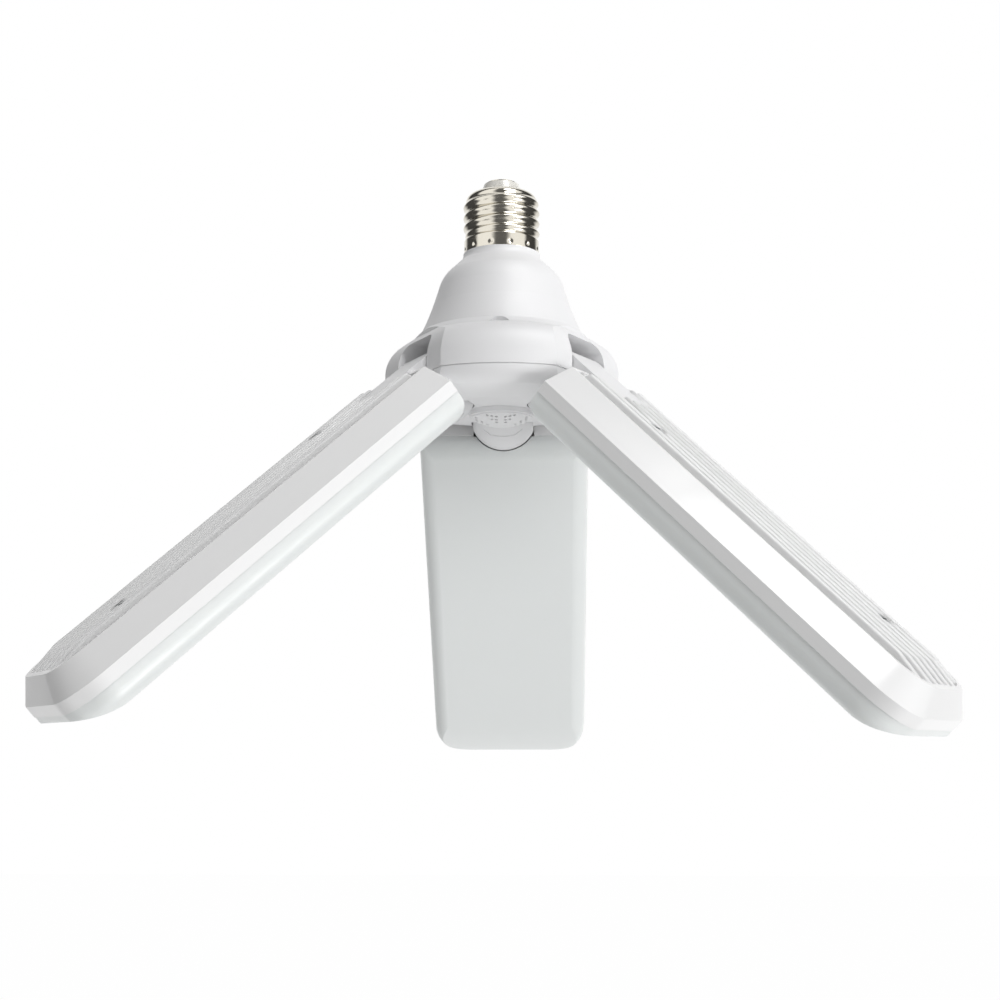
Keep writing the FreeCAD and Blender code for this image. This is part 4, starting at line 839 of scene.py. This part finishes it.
    def add_lights(self):
        """A key from above and a weaker one from the right, front and below."""
        middle = Vector((0.0, 0.0, -0.07))
        for name, way, distance, size, power in (
                ("key_light", (0.32, -0.38, 0.87), 1.6, 0.7, 13.2),
                ("right_light", (0.81, -0.47, -0.34), 1.5, 0.6, 8.5)):
            spot = middle + Vector(way).normalized() * distance
            lamp = bpy.data.lights.new(name, "AREA")
            lamp.shape = "DISK"
            lamp.size = size
            lamp.energy = power
            thing = bpy.data.objects.new(name, lamp)
            bpy.context.scene.collection.objects.link(thing)
            thing.location = spot
            thing.rotation_euler = (middle - spot).to_track_quat("-Z", "Y").to_euler()

    def add_camera(self, context):
        """A 59 mm lens as low as the panels' tips, tipped up, as the photograph was taken."""
        lens = bpy.data.cameras.new("photo_camera")
        lens.lens = 59.34
        lens.sensor_width = 36.0
        camera = bpy.data.objects.new("photo_camera", lens)
        camera.location = (14.3 * MM, -543.8 * MM, -166.3 * MM)
        camera.rotation_euler = (math.radians(90 + 8.566), 0.0, math.radians(1.56))
        context.scene.collection.objects.link(camera)
        context.scene.camera = camera


class GARAGELIGHT_PT_panel(bpy.types.Panel):
    """Buttons and values of the folding garage light"""
    bl_idname = "GARAGELIGHT_PT_panel"
    bl_label = "Garage Light"
    bl_space_type = "VIEW_3D"
    bl_region_type = "UI"
    bl_category = "Garage Light"

    def draw(self, context):
        for step in STEPS:
            self.layout.operator(step.bl_idname)
        for group in (context.scene.garage_light_sizes, context.scene.garage_light_colours):
            box = self.layout.box()
            for name in group.__annotations__:
                box.prop(group, name)


STEPS = (
    GARAGELIGHT_OT_cap,
    GARAGELIGHT_OT_hub,
    GARAGELIGHT_OT_frames,
    GARAGELIGHT_OT_covers,
    GARAGELIGHT_OT_hinges,
    GARAGELIGHT_OT_fasteners,
    GARAGELIGHT_OT_electrics,
    GARAGELIGHT_OT_stage,
)
CLASSES = (GarageLightSizes, GarageLightColours) + STEPS + (GARAGELIGHT_PT_panel,)


def register():
    for kind in CLASSES:
        bpy.utils.register_class(kind)
    bpy.types.Scene.garage_light_sizes = bpy.props.PointerProperty(type=GarageLightSizes)
    bpy.types.Scene.garage_light_colours = bpy.props.PointerProperty(type=GarageLightColours)


def unregister():
    del bpy.types.Scene.garage_light_colours
    del bpy.types.Scene.garage_light_sizes
    for kind in reversed(CLASSES):
        bpy.utils.unregister_class(kind)


def main():
    """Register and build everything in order."""
    register()
    bpy.ops.garage_light.cap()
    bpy.ops.garage_light.hub()
    bpy.ops.garage_light.frames()
    bpy.ops.garage_light.covers()
    bpy.ops.garage_light.hinges()
    bpy.ops.garage_light.fasteners()
    bpy.ops.garage_light.electrics()
    bpy.ops.garage_light.stage()


if __name__ == "__main__":
    main()
